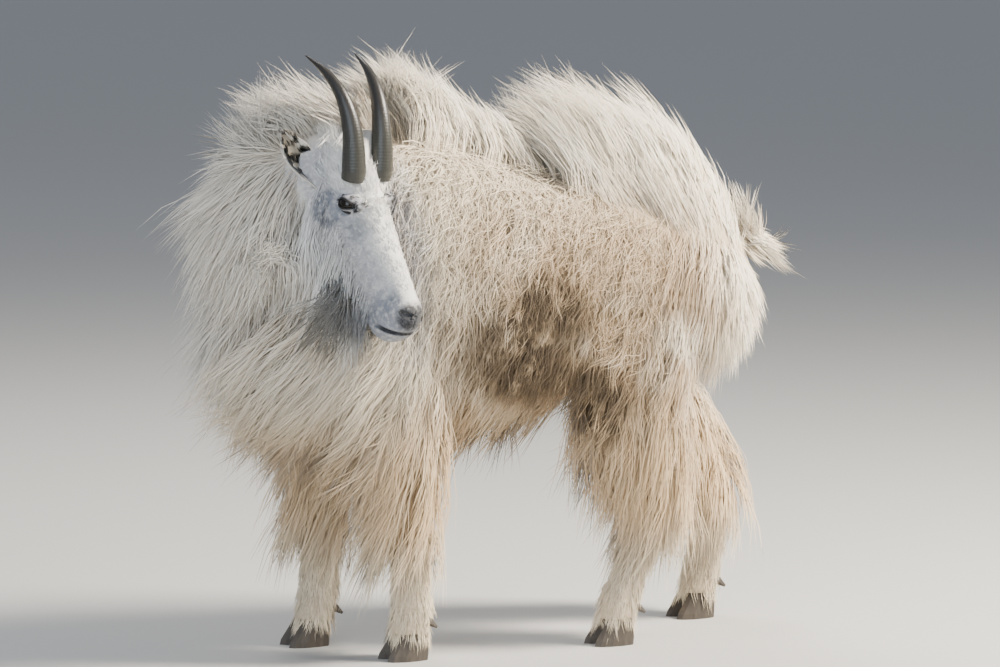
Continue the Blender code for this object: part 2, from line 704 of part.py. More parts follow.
class Coat:
    """Grows locks on the cores of the nodes, keeps them clear of the other nodes and joins them on."""

    def __init__(self, nodes):
        self.nodes = nodes
        self.locks = {name: [] for name in nodes}
        self.cores = {}
        for name, node in nodes.items():
            corners = [vertex.co for vertex in node.data.vertices]
            faces = [face.vertices[:] for face in node.data.polygons]
            self.cores[name] = BVHTree.FromPolygons(corners, faces)
        self.taken = {name: [] for name in nodes}

    def is_clear(self, name, tree):
        for other, core in self.cores.items():
            if other != name and tree.overlap(core):
                return False
        for other, trees in self.taken.items():
            if other != name and any(tree.overlap(lock) for lock in trees):
                return False
        return True

    def find_root(self, names, start, aim, reach):
        """Return the outermost place where one of the cores meets a line from inside the body."""
        far = start + aim * reach
        best = None
        for name in names:
            place, normal, _, distance = self.cores[name].ray_cast(far, -aim)
            if place is not None and (best is None or distance < best[3]) and distance < reach:
                best = (name, place, normal, distance)
        return best

    def grow(self, names, start, aim, lie, length, wide, stand, tip_stand=0.1, reach=0.6):
        """Grow one lock on the outermost core on a line from inside, lying along the coat."""
        aim = aim.normalized()
        lie = lie.normalized()
        length *= random.uniform(0.88, 1.12)
        wide *= random.uniform(0.85, 1.15)
        twist = random.uniform(-LOCK_TWIST, LOCK_TWIST)
        best = None
        for shorter, lift, stray in LOCK_TRIES:
            strayed = aim + Vector([random.uniform(-stray, stray) for _ in range(3)])
            found = self.find_root(names, start, strayed.normalized(), reach)
            if found is None:
                continue
            name, root, normal, _ = found
            along = (lie - normal * lie.dot(normal)).normalized()
            up = min(stand + lift, 1.0)
            tip_up = min(tip_stand + lift, 1.0)
            way = (normal * up + along * (1 - up)).normalized()
            tip_way = (normal * tip_up + along * (1 - tip_up) + lie * 0.3).normalized()
            shape = (root, normal, way, tip_way, length * shorter, wide, twist)
            spared = BVHTree.FromPolygons(*lock_shape(*shape, spare=LOCK_CLEAR))
            if not self.is_clear(name, spared):
                continue
            crossed = sum(1 for lock in self.taken[name] if spared.overlap(lock))
            fault = crossed * CROSSING_FAULT + (1 - shorter) * SHORT_FAULT + lift
            if best is None or fault < best[0]:
                best = (fault, name, shape, spared)
        if best is not None:
            _, name, shape, spared = best
            self.locks[name].append(lock_shape(*shape))
            self.taken[name].append(spared)

    def join(self, name):
        """Fuse a node's locks to its core with one union, and keep the largest closed surface.

        A lock that only touches the rest along an edge spoils the union: it is left out, and the union
        is made again.
        """
        core = self.nodes[name].data
        known = len(edge_faults(core))
        while True:
            self.nodes[name].data = core.copy()
            gathered = bpy.data.collections.new(f"{name} locks")
            bpy.context.scene.collection.children.link(gathered)
            for points, faces in self.locks[name]:
                lock = place_object("lock", points, faces)
                bpy.context.scene.collection.objects.unlink(lock)
                gathered.objects.link(lock)
            union = self.nodes[name].modifiers.new("coat", "BOOLEAN")
            union.operation = "UNION"
            union.operand_type = "COLLECTION"
            union.collection = gathered
            apply_modifiers(self.nodes[name])
            for lock in list(gathered.objects):
                bpy.data.objects.remove(lock)
            bpy.data.collections.remove(gathered)
            keep_largest(self.nodes[name])
            faults = edge_faults(self.nodes[name].data)
            if len(faults) <= known or not self.locks[name]:
                break
            trees = [BVHTree.FromPolygons(*lock) for lock in self.locks[name]]
            spoilt = {min(range(len(trees)), key=lambda k: trees[k].find_nearest(at)[3]) for at in faults}
            print(name, "faults", len(faults), "leaves out", sorted(spoilt))
            self.locks[name] = [lock for k, lock in enumerate(self.locks[name]) if k not in spoilt]


def turned(degrees):
    return math.cos(math.radians(degrees)), math.sin(math.radians(degrees))


def grow_trunk(coat):
    # The erect crest runs over the hump, the back and the rump
    body = ["torso", "neck", "tail"]
    body += [f"{kind}leg_{side}_upper" for kind in ("fore", "hind") for side in FORE_FEET]
    for row, angle in enumerate(CREST_ROWS):
        c, s = turned(angle)
        for k in range(CREST_COUNT):
            x = CREST_SPAN[0] + (CREST_SPAN[1] - CREST_SPAN[0]) * (k + 0.5 * (row % 2)) / CREST_COUNT
            middle, _, _, _, coat_up, _, _ = read_rows(TRUNK, x)
            lie = Vector((read_rows(CREST_LEAN, x)[0], -s * 0.6, 1.0))
            length = (1 - CORE_SHARE) * coat_up * 1.1 + 0.012
            aim = Vector((0, -s, c))
            coat.grow(body, Vector((x, 0, middle)), aim, lie, length, CREST_WIDE, 0.75, 0.45)
    # Tiers of locks hang down each flank, leaning forward as they fall
    for out in (-1, 1):
        for row, (angle, length, stand) in enumerate(FLANK_TIERS):
            c, s = turned(angle)
            for k in range(FLANK_COUNT):
                x = FLANK_SPAN[0] + (FLANK_SPAN[1] - FLANK_SPAN[0]) * (k + 0.5 * (row % 2)) / FLANK_COUNT
                middle = read_rows(TRUNK, x)[0]
                lie = Vector((FLANK_LEAN, out * 0.1, -1.0))
                aim = Vector((0, out * s, c))
                coat.grow(body, Vector((x, 0, middle)), aim, lie, length, FLANK_WIDE, stand)
        # Short fringe under the belly between the legs
        for x in BELLY_AT:
            lie = Vector((FLANK_LEAN, 0, -1.0))
            aim = Vector((0, out * 0.5, -1))
            coat.grow(body, Vector((x, 0, 0.62)), aim, lie, BELLY_LONG, BELLY_WIDE, 0.6, 0.5)
    # The brisket in front, below the neck
    for angle, up, length in BRISKET:
        c, s = turned(angle)
        lie = Vector((-0.35, 0, -1))
        coat.grow(body, BRISKET_AT, Vector((-c, s, up)), lie, length, BRISKET_WIDE, 0.45, 0.15)
    # The rump, round the tail
    for angle, up, length in RUMP:
        c, s = turned(angle)
        lie = Vector((0.3, 0, -1))
        coat.grow(body, RUMP_AT, Vector((c, s, up)), lie, length, RUMP_WIDE, 0.45)


def grow_neck(coat):
    for row, t in enumerate(NECK_TIERS):
        side, up, down, coat_side, coat_up, coat_down = read_rows(NECK, t)
        point, way, left, crown = neck_frame(t)
        for k in range(NECK_ROUND):
            angle = 360 * (k + 0.5 * (row % 2)) / NECK_ROUND
            c, s = turned(angle)
            deep = coat_side * abs(s) + (coat_up if c > 0 else coat_down) * abs(c)
            high = c > 0.7
            lie = Vector((0.1, 0.0, 0.8)) if high else Vector((-0.12, 0.0, -1.0))
            length = (1 - CORE_SHARE) * deep * 1.1 + (0.03 if high else 0.085 if c > -0.3 else 0.12)
            stand = 0.75 if high else 0.5
            aim = crown * c + left * s
            coat.grow(["neck", "torso"], point, aim, lie, length, NECK_WIDE, stand, 0.4 if high else 0.12)


def grow_leg(coat, kind, side):
    out = -1 if side == "left" else 1
    name = f"{kind}leg_{side}_upper"
    for row, (z, length) in enumerate(FORE_TIERS if kind == "fore" else HIND_TIERS):
        ring = leg_ring(kind, side, z, 0.0)
        middle = sum(ring, Vector()) / len(ring)
        for k in range(LEG_ROUND):
            angle = 360 * (k + 0.5 * (row % 2)) / LEG_ROUND
            c, s = turned(angle)
            lie = Vector((LEG_LEAN[kind], 0, -1.0))
            coat.grow([name], middle, Vector((s, -out * c, 0)), lie, length, LEG_WIDE, 0.38, 0.1, reach=0.25)


def grow_small(coat):
    # The tail's tuft
    way = (TAIL_TIP - TAIL_ROOT).normalized()
    for share, angle in TAIL_LOCKS:
        c, s = turned(angle)
        aim = Vector((0, 1, 0)) * s + way.cross(Vector((0, -1, 0))) * c
        lie = way + Vector((0, 0, -0.7))
        coat.grow(["tail"], TAIL_ROOT.lerp(TAIL_TIP, share), aim, lie, *TAIL_LOCK, 0.3, reach=0.06)
    # The beard, and the longer hair under the jaw
    root = in_head(*BEARD_ROOT)
    tip = in_head(*BEARD_TIP)
    way = (tip - root).normalized()
    across = (HEAD_W - way * HEAD_W.dot(way)).normalized()
    for share, angle in BEARD_LOCKS:
        c, s = turned(angle)
        aim = way.cross(across) * c + across * s
        lie = way + Vector((-0.1, 0, -0.4))
        coat.grow(["beard"], root.lerp(tip, share), aim, lie, *BEARD_LOCK, 0.25, 0.05, reach=0.08)
    for a, h, length in JAW_LOCKS:
        for out in (-1, 1):
            lie = Vector((-0.15, 0, -1)) - HEAD_H * 0.6
            aim = HEAD_W * out - HEAD_H * 0.6
            coat.grow(["head"], in_head(a, h, 0), aim, lie, length, JAW_WIDE, 0.3, reach=0.12)


# The finish of each node, by what it is made of
def make_material(name, colour, roughness):
    made = bpy.data.materials.new(name)
    made.use_nodes = True
    shader = made.node_tree.nodes["Principled BSDF"]
    shader.inputs["Base Color"].default_value = colour
    shader.inputs["Roughness"].default_value = roughness
    made.diffuse_color = colour
    return made


def build():
    for old in list(bpy.data.objects):
        bpy.data.objects.remove(old)
    random.seed(SEED)
    nodes = {}

    # One skin for the trunk, the neck and the upper legs, divided afterwards
    trunk = loft([trunk_ring(x, CORE_SHARE) for x in np.linspace(TRUNK[0][0], TRUNK[-1][0], TRUNK_RINGS)])
    neck = loft([neck_ring(t, CORE_SHARE) for t in np.linspace(0, NECK[-1][0], NECK_RINGS)])
    whole = place_object("whole", *trunk)
    pieces = [place_object("neck_start", *neck)]
    for kind in ("fore", "hind"):
        for side in ("left", "right"):
            out = -1 if side == "left" else 1
            rows = FORE if kind == "fore" else HIND
            heights = np.linspace(SHIN_TOP - 0.03, rows[-1][0], LEG_RINGS)
            leg = place_object("leg", *loft([leg_ring(kind, side, z, CORE_SHARE) for z in heights]))
            slice_off(leg, Vector((0, out * LEG_INSIDE, 0)), Vector((0, -out, 0)))
            pieces.append(leg)
    edit = bmesh.new()
    edit.from_mesh(whole.data)
    for piece in pieces:
        edit.from_mesh(piece.data)
        bpy.data.objects.remove(piece)
    edit.to_mesh(whole.data)
    edit.free()
    melt(whole, SKIN_GRAIN, SKIN_TRIANGLES)

    # The neck and the head start at slanted planes
    point, normal = NECK_SEAM
    nodes["neck"] = copy_of(whole, "neck")
    slice_off(nodes["neck"], point + normal * (GAP / 2), -normal)
    slice_off(nodes["neck"], HEAD_SEAM[0] - HEAD_SEAM[1] * (GAP / 2), HEAD_SEAM[1])
    keep_largest(nodes["neck"])
    nodes["torso"] = copy_of(whole, "torso")
    slice_off(nodes["torso"], point - normal * (GAP / 2), normal)

    # Each leg's node is the part of the skin inside a cell under its slanted roof
    for kind, roof, spans in (("fore", FORE_ROOF, FORE_SPAN), ("hind", HIND_ROOF, HIND_SPAN)):
        for side in ("left", "right"):
            out = -1 if side == "left" else 1
            low, high = spans[side]
            slant = Vector((0, out * ROOF_SLOPE, 1)).normalized()
            planes = [
                (Vector((0, 0, roof[0])), Vector((0, 0, 1))),
                (Vector((0, out * ROOF_OUT, roof[1])), slant),
                (Vector((0, out * (LEG_INSIDE - 0.001), 0)), Vector((0, -out, 0))),
                (Vector((low, 0, 0)), Vector((-1, 0, 0))),
                (Vector((high, 0, 0)), Vector((1, 0, 0))),
            ]
            name = f"{kind}leg_{side}_upper"
            upper = copy_of(whole, name)
            for at, way in planes:
                slice_off(upper, at - way * (GAP / 2), way)
            slice_off(upper, Vector((0, 0, SHIN_TOP + GAP / 2)), Vector((0, 0, -1)))
            slice_off(upper, NECK_SEAM[0] - NECK_SEAM[1] * (GAP / 2), NECK_SEAM[1])
            keep_largest(upper)
            nodes[name] = upper
            cell = place_object("cell", *ellipsoid(
                Vector(((low + high) / 2, out * 0.2, 0.2)),
                (Vector((2, 0, 0)), Vector((0, 2, 0)), Vector((0, 0, 2))), 8, 4,
            ))
            for at, way in planes:
                slice_off(cell, at + way * (GAP / 2), way)
            boolean(nodes["torso"], cell, "DIFFERENCE")
            lower = place_object(f"{kind}leg_{side}_lower", *loft([
                leg_ring(kind, side, z, CORE_SHARE)
                for z in (0.048, 0.060, 0.076, 0.090, 0.108, 0.130, 0.180, SHIN_TOP - GAP / 2)
            ]))
            nodes[lower.name] = lower
    bpy.data.objects.remove(whole)

    # The head, with its lids, sockets and nostrils
    head = place_object("head", *loft([head_ring(a) for a in HEAD_RINGS]))
    slice_off(head, HEAD_SEAM[0] + HEAD_SEAM[1] * (GAP / 2), -HEAD_SEAM[1])
    for side, out in (("left", 1), ("right", -1)):
        eye = in_head(EYE_AT[0], EYE_AT[1], out * EYE_AT[2])
        axes = (HEAD_A, HEAD_H, HEAD_W * out)
        boolean(head, place_object("lid", *ellipsoid(eye, [axis * LID_RADIUS for axis in axes])), "UNION")
        socket = place_object("socket", *ellipsoid(eye, [axis * (EYE_RADIUS + GAP * 1.5) for axis in axes]))
        slit = ellipsoid(
            eye + axes[2] * EYE_RADIUS,
            (axes[0] * EYE_SLIT[0], axes[1] * EYE_SLIT[1], axes[2] * EYE_RADIUS * 0.8),
        )
        boolean(socket, place_object("slit", *slit), "UNION")
        boolean(head, socket, "DIFFERENCE")
        nodes[f"eye_{side}"] = place_object(
            f"eye_{side}", *ellipsoid(eye, [axis * EYE_RADIUS for axis in axes])
        )
        nostril = ellipsoid(
            in_head(NOSTRIL_AT[0], NOSTRIL_AT[1], out * (NOSTRIL_AT[2] + 0.006)),
            (
                (HEAD_A + HEAD_H * 0.5).normalized() * NOSTRIL[0],
                (HEAD_H - HEAD_A * 0.5).normalized() * NOSTRIL[1],
                axes[2] * NOSTRIL[2],
            ),
            8, 6,
        )
        boolean(head, place_object("nostril", *nostril), "DIFFERENCE")
        for kind, shape in (("horn", horn_shape), ("ear", ear_shape)):
            points, faces = shape(out)
            cutter = swollen(points, faces, GAP * 1.3)
            boolean(head, place_object("pocket", cutter, faces), "DIFFERENCE")
            boolean(nodes["neck"], place_object("pocket", cutter, faces), "DIFFERENCE")
            nodes[f"{kind}_{side}"] = place_object(f"{kind}_{side}", points, faces)
    nodes["head"] = head

    # The beard and the tail sit in pockets too
    root = in_head(*BEARD_ROOT)
    tip = in_head(*BEARD_TIP)
    way = (tip - root).normalized()
    across = HEAD_W - way * HEAD_W.dot(way)
    across.normalize()
    points, faces = tube(BEARD, root, tip, across, way.cross(across), 10, 5, CORE_SHARE)
    boolean(head, place_object("pocket", swollen(points, faces, GAP * 1.3), faces), "DIFFERENCE")
    nodes["beard"] = place_object("beard", points, faces)
    way = (TAIL_TIP - TAIL_ROOT).normalized()
    across = Vector((0, 1, 0))
    points, faces = tube(TAIL, TAIL_ROOT, TAIL_TIP, across, way.cross(across), 10, 5, CORE_SHARE)
    boolean(nodes["torso"], place_object("pocket", swollen(points, faces, GAP * 1.3), faces), "DIFFERENCE")
    nodes["tail"] = place_object("tail", points, faces)

    # The trunk and neck give way to the turned head and its beard
    for name in ("head", "beard"):
        shape = nodes[name].data
        faces = [tuple(face.vertices) for face in shape.polygons]
        cutter = swollen([vertex.co for vertex in shape.vertices], faces, GAP * 3)
        for other in ("torso", "neck"):
            if name == "beard" or other == "torso":
                boolean(nodes[other], place_object("pocket", cutter, faces), "DIFFERENCE")

    # Hooves and dewclaws
    for kind in ("fore", "hind"):
        for side in ("left", "right"):
            out = -1 if side == "left" else 1
            foot = FORE_FEET[side][0] if kind == "fore" else HIND_FEET[side]
            rows = FORE if kind == "fore" else HIND
            y = out * rows[0][2 if kind == "fore" else 3]
            lower = nodes[f"{kind}leg_{side}_lower"]
            for place, sign in (("outer", out), ("inner", -out)):
                name = f"hoof_{kind}_{side}_{place}"
                turn = -sign * math.radians(TOE_SPLAY)
                nodes[name] = place_object(name, *toe_shape(foot, y + sign * TOE_APART, sign, turn))
                x, middle = leg_outside(kind, side, DEWCLAW_UP, CORE_SHARE)
                name = f"dewclaw_{kind}_{side}_{place}"
                points, faces = dewclaw_shape(x - 0.009, middle + sign * DEWCLAW_OUT, sign)
                pocket = place_object("pocket", swollen(points, faces, GAP * 1.3), faces)
                boolean(lower, pocket, "DIFFERENCE")
                nodes[name] = place_object(name, points, faces)

    # The coat
    coat = Coat(nodes)
    grow_small(coat)
    for kind in ("fore", "hind"):
        for side in ("left", "right"):
            grow_leg(coat, kind, side)
    grow_trunk(coat)
    grow_neck(coat)
    for name, locks in coat.locks.items():
        if locks:
            coat.join(name)
            print(name, "locks", len(locks))

    # Finishes
    coat = make_material("coat", COAT_WHITE, 0.9)
    horn = make_material("horn", HORN_BLACK, 0.4)
    hoof = make_material("hoof", HOOF_GREY, 0.6)
    eye = make_material("eye", EYE_DARK, 0.08)
    for name, node in nodes.items():
        finish = coat
        for start, other in (("horn", horn), ("hoof", hoof), ("dewclaw", hoof), ("eye", eye)):
            if name.startswith(start):
                finish = other
        node.data.materials.clear()
        node.data.materials.append(finish)

    # The origin goes under the middle of the whole, on the floor
    low = Vector((math.inf, math.inf, 0))
    high = -low
    for node in nodes.values():
        for vertex in node.data.vertices:
            low.x = min(low.x, vertex.co.x)
            low.y = min(low.y, vertex.co.y)
            high.x = max(high.x, vertex.co.x)
            high.y = max(high.y, vertex.co.y)
    shift = Vector((-(low.x + high.x) / 2, -(low.y + high.y) / 2, 0))
    for node in nodes.values():
        for vertex in node.data.vertices:
            vertex.co += shift
        node.data.shade_smooth()
        node.data.set_sharp_from_angle(angle=math.radians(40))
        print(node.name, len(node.data.polygons))
    print("shift", shift, "size", high - low)


build()
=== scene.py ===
"""The looks of a mountain goat billy in its long, shedding winter coat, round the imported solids."""

import math

import bmesh
import bpy
import numpy as np
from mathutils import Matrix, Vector
from mathutils.bvhtree import BVHTree


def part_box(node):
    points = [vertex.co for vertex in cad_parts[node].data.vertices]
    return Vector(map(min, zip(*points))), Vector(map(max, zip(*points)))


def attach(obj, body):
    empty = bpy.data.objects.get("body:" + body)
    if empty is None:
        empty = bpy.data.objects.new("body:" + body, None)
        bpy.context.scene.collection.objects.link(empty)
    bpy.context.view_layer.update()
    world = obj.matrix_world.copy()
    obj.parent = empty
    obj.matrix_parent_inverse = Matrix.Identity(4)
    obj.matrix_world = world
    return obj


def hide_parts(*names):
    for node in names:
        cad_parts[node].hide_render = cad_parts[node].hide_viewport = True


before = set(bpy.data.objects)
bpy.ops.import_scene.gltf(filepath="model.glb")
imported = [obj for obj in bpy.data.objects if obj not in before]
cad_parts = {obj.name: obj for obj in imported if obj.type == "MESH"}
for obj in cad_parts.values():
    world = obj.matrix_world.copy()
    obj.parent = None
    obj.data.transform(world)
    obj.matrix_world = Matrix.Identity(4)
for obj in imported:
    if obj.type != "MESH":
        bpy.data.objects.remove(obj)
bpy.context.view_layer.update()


# The head's own frame. The goat faces -X with its head turned back over its left side. Its middle is
# between the horns; a runs to the nose, h to the crown, w to the goat's left. The solids were moved
# to stand over the origin, and the left eye tells by how much.
HEAD_AT = Vector((-0.334, -0.170, 0.880))
HEAD_A = Vector((0.138, -0.520, -0.843)).normalized()
HEAD_W = Vector((0.965, 0.258, 0.0)).normalized()
HEAD_H = HEAD_A.cross(HEAD_W).normalized()
EYE_AT = (0.050, -0.035, 0.042)


def in_head(a, h, w):
    return HEAD_AT + HEAD_A * a + HEAD_H * h + HEAD_W * w


eye_low, eye_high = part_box("eye_left")
SHIFT = (Vector(eye_low) + Vector(eye_high)) / 2 - in_head(*EYE_AT)
SHIFT.z = 0


# The skin: one mesh for the trunk, neck, legs, tail and head, under the coat. It follows the same
# rows of sizes as the solids, without the depth of coat that their cores and locks fill. The body is
# melted together and smoothed, and the head is lofted finely with its brows, nostrils and lips.
TRUNK = (
    (-0.470, 0.600, 0.040, 0.060, 0.050),
    (-0.430, 0.620, 0.090, 0.120, 0.120),
    (-0.350, 0.640, 0.130, 0.185, 0.190),
    (-0.220, 0.650, 0.150, 0.270, 0.210),
    (-0.080, 0.650, 0.165, 0.235, 0.195),
    (0.060, 0.645, 0.170, 0.205, 0.180),
    (0.200, 0.650, 0.165, 0.215, 0.165),
    (0.320, 0.655, 0.150, 0.195, 0.145),
    (0.420, 0.655, 0.110, 0.120, 0.120),
    (0.475, 0.655, 0.050, 0.060, 0.060),
)
TRUNK_ROUNDNESS = 2.2
NECK_CURVE = (
    Vector((-0.200, 0.000, 0.735)),
    Vector((-0.410, 0.040, 0.790)),
    Vector((-0.450, 0.020, 0.860)),
    Vector((-0.357, -0.084, 0.870)),
)
NECK = (
    (0.00, 0.120, 0.140, 0.170),
    (0.25, 0.115, 0.130, 0.155),
    (0.50, 0.100, 0.110, 0.125),
    (0.75, 0.070, 0.085, 0.090),
    (0.90, 0.065, 0.078, 0.088),
    (1.20, 0.060, 0.070, 0.085),
)
FORE = (
    (0.046, 0.010, 0.110, 0.036, 0.036),
    (0.062, 0.011, 0.110, 0.034, 0.034),
    (0.090, 0.016, 0.111, 0.034, 0.033),
    (0.125, 0.013, 0.112, 0.031, 0.030),
    (0.180, 0.011, 0.113, 0.032, 0.031),
    (0.225, 0.006, 0.114, 0.035, 0.033),
    (0.265, 0.004, 0.114, 0.034, 0.031),
    (0.320, 0.010, 0.114, 0.036, 0.033),
    (0.400, 0.012, 0.112, 0.048, 0.038),
    (0.480, 0.010, 0.108, 0.062, 0.046),
    (0.560, 0.010, 0.100, 0.078, 0.052),
    (0.640, 0.010, 0.092, 0.085, 0.052),
)
FORE_TOP = 0.55
FORE_FEET = {"left": (-0.240, -0.240), "right": (-0.3365, -0.270)}
HIND = (
    (0.046, 0.178, 0.454, 0.110, 0.035, 0.036),
    (0.062, 0.181, 0.457, 0.110, 0.033, 0.034),
    (0.090, 0.190, 0.466, 0.111, 0.034, 0.033),
    (0.130, 0.206, 0.474, 0.112, 0.031, 0.030),
    (0.190, 0.236, 0.480, 0.113, 0.031, 0.030),
    (0.235, 0.256, 0.484, 0.114, 0.033, 0.030),
    (0.275, 0.264, 0.482, 0.115, 0.038, 0.028),
    (0.330, 0.250, 0.448, 0.118, 0.046, 0.034),
    (0.400, 0.222, 0.392, 0.122, 0.070, 0.044),
    (0.480, 0.196, 0.325, 0.122, 0.098, 0.056),
    (0.560, 0.200, 0.285, 0.115, 0.120, 0.066),
    (0.640, 0.215, 0.262, 0.105, 0.125, 0.066),
)
TAIL_ROOT = Vector((0.400, 0.0, 0.770))
TAIL_TIP = Vector((0.535, 0.0, 0.700))
TAIL = ((0.0, 0.020, 0.016), (0.5, 0.018, 0.013), (0.9, 0.012, 0.009), (1.0, 0.006, 0.004))
SKIN_GRAIN = 0.007
SKIN_SMOOTHING = 4

HEAD = (
    (-0.100, -0.025, -0.110, 0.040),
    (-0.075, -0.010, -0.125, 0.050),
    (-0.030, 0.005, -0.145, 0.058),
    (0.020, 0.000, -0.152, 0.060),
    (0.050, -0.004, -0.150, 0.058),
    (0.090, -0.006, -0.141, 0.051),
    (0.130, -0.008, -0.128, 0.044),
    (0.170, -0.009, -0.118, 0.039),
    (0.205, -0.010, -0.116, 0.037),
    (0.235, -0.011, -0.121, 0.038),
    (0.262, -0.013, -0.123, 0.038),
    (0.279, -0.019, -0.115, 0.033),
    (0.290, -0.030, -0.102, 0.024),
    (0.296, -0.046, -0.084, 0.012),
)
# The face lies this far under the solids' head, for its short fur, and sinks to the eyes' middle
FACE_DEEP = 0.002
EYE_SET = 0.0395
EYE_HOLE = 0.018
HEAD_RINGS = 230
HEAD_SIDES = 150
NOSTRIL_AT = (0.279, -0.0245)
NOSTRIL_WAY = (0.975, 0.222)
NOSTRIL = (0.0145, 0.0060)
MOUTH_CORNER = (0.257, -0.088)
MOUTH_RISE = 0.75


def read_rows(rows, places):
    """Return the sizes at an array of places on the smooth curve through rows of (place, size, ...)."""
    table = np.array(rows)
    at = table[:, 0]
    sizes = table[:, 1:]
    places = np.clip(np.atleast_1d(places), at[0], at[-1])
    k = np.clip(np.searchsorted(at, places, side="right") - 1, 0, len(at) - 2)
    slopes = np.empty_like(sizes)
    slopes[1:-1] = (sizes[2:] - sizes[:-2]) / (at[2:] - at[:-2])[:, None]
    slopes[0] = (sizes[1] - sizes[0]) / (at[1] - at[0])
    slopes[-1] = (sizes[-1] - sizes[-2]) / (at[-1] - at[-2])
    span = (at[k + 1] - at[k])[:, None]
    t = (places - at[k])[:, None] / span
    return (
        sizes[k] * (2 * t**3 - 3 * t**2 + 1)
        + sizes[k + 1] * (3 * t**2 - 2 * t**3)
        + slopes[k] * span * (t**3 - 2 * t**2 + t)
        + slopes[k + 1] * span * (t**3 - t**2)
    )


def circle(count):
    """Return so many angles, evenly spaced."""
    return np.linspace(0, 2 * math.pi, count, endpoint=False)


def signed_power(values, power):
    return np.sign(values) * np.abs(values) ** power


def loft(rings):
    """Return points and faces of a closed tube through an array of rings (rings, sides, 3)."""
    count, sides, _ = rings.shape
    points = np.concatenate([rings.reshape(-1, 3), rings[:1].mean(axis=1), rings[-1:].mean(axis=1)])
    first = len(points) - 2
    last = len(points) - 1
    faces = []
    for r in range(count - 1):
        for k in range(sides):
            a = r * sides + k
            b = r * sides + (k + 1) % sides
            faces.append((a, b, b + sides, a + sides))
    for k in range(sides):
        n = (k + 1) % sides
        faces.append((first, n, k))
        faces.append((last, last - 1 - sides + k, last - 1 - sides + n))
    return points, faces


def put(name, data):
    """Add an object to the scene."""
    made = bpy.data.objects.new(name, data)
    bpy.context.scene.collection.objects.link(made)
    return made


def add_mesh(name, points, faces):
    """Add a closed mesh to the scene with its faces pointing out."""
    mesh = bpy.data.meshes.new(name)
    mesh.from_pydata([tuple(point) for point in points], [], faces)
    edit = bmesh.new()
    edit.from_mesh(mesh)
    bmesh.ops.recalc_face_normals(edit, faces=edit.faces[:])
    if edit.calc_volume(signed=True) < 0:
        bmesh.ops.reverse_faces(edit, faces=edit.faces[:])
    edit.to_mesh(mesh)
    edit.free()
    mesh.shade_smooth()
    return put(name, mesh)


def apply_modifiers(piece):
    graph = bpy.context.evaluated_depsgraph_get()
    mesh = bpy.data.meshes.new_from_object(piece.evaluated_get(graph))
    piece.modifiers.clear()
    piece.data = mesh


def trunk_rings(places, sides):
    angles = circle(sides)
    middle, half, up, down = read_rows(TRUNK, places).T[:, :, None]
    c = signed_power(np.cos(angles), 2 / TRUNK_ROUNDNESS)
    s = signed_power(np.sin(angles), 2 / TRUNK_ROUNDNESS)
    tall = np.where(c > 0, up, down)
    return np.stack([places[:, None] + 0 * s, -half * s, middle + tall * c], axis=-1)


def neck_frame(t):
    """Return the point, direction, left and up of the neck at a share of its length."""
    a, b, c, d = NECK_CURVE
    s = min(t, 1.0)
    point = a * (1 - s) ** 3 + b * 3 * s * (1 - s) ** 2 + c * 3 * s * s * (1 - s) + d * s**3
    way = (b - a) * (1 - s) ** 2 + (c - b) * 2 * s * (1 - s) + (d - c) * s * s
    point = point + way * 3 * (t - s)
    way = way.normalized()
    left = Vector((0, 0, 1)).cross(way).normalized()
    return point, way, left, way.cross(left)


def neck_rings(shares, sides):
    angles = circle(sides)
    rings = []
    for t, (side, up, down) in zip(shares, read_rows(NECK, shares)):
        point, _, left, crown = (np.array(vector) for vector in neck_frame(t))
        tall = np.where(np.cos(angles) > 0, up, down) * np.cos(angles)
        rings.append(point + np.outer(tall, crown) + np.outer(side * np.sin(angles), left))
    return np.array(rings)


def leg_rings(kind, side, heights, sides):
    out = -1 if side == "left" else 1
    angles = circle(sides)
    if kind == "fore":
        back, away, long, wide = read_rows(FORE, heights).T
        foot, top = FORE_FEET[side]
        x = foot + (top - foot) * np.minimum(heights / FORE_TOP, 1) + back
    else:
        left, right, away, long, wide = read_rows(HIND, heights).T
        x = left if side == "left" else right
    return np.stack([
        x[:, None] + np.outer(long, np.cos(angles)),
        out * away[:, None] + np.outer(wide, np.sin(angles)),
        heights[:, None] + 0 * angles,
    ], axis=-1)


def tail_rings(sides):
    way = np.array((TAIL_TIP - TAIL_ROOT).normalized())
    across = np.array((0.0, 1.0, 0.0))
    deep = np.cross(way, across)
    angles = circle(sides)
    shares = np.linspace(0, 1, 12)
    rings = []
    for t, (wide, thick) in zip(shares, read_rows(TAIL, shares)):
        middle = np.array(TAIL_ROOT.lerp(TAIL_TIP, t))
        round_it = np.outer(wide * np.cos(angles), across) + np.outer(thick * np.sin(angles), deep)
        rings.append(middle + round_it)
    return np.array(rings)


def bump_at(distance, reach):
    """Return 1 at no distance, falling smoothly to 0 at the reach."""
    t = np.clip(1 - distance / reach, 0, 1)
    return t * t * (3 - 2 * t)


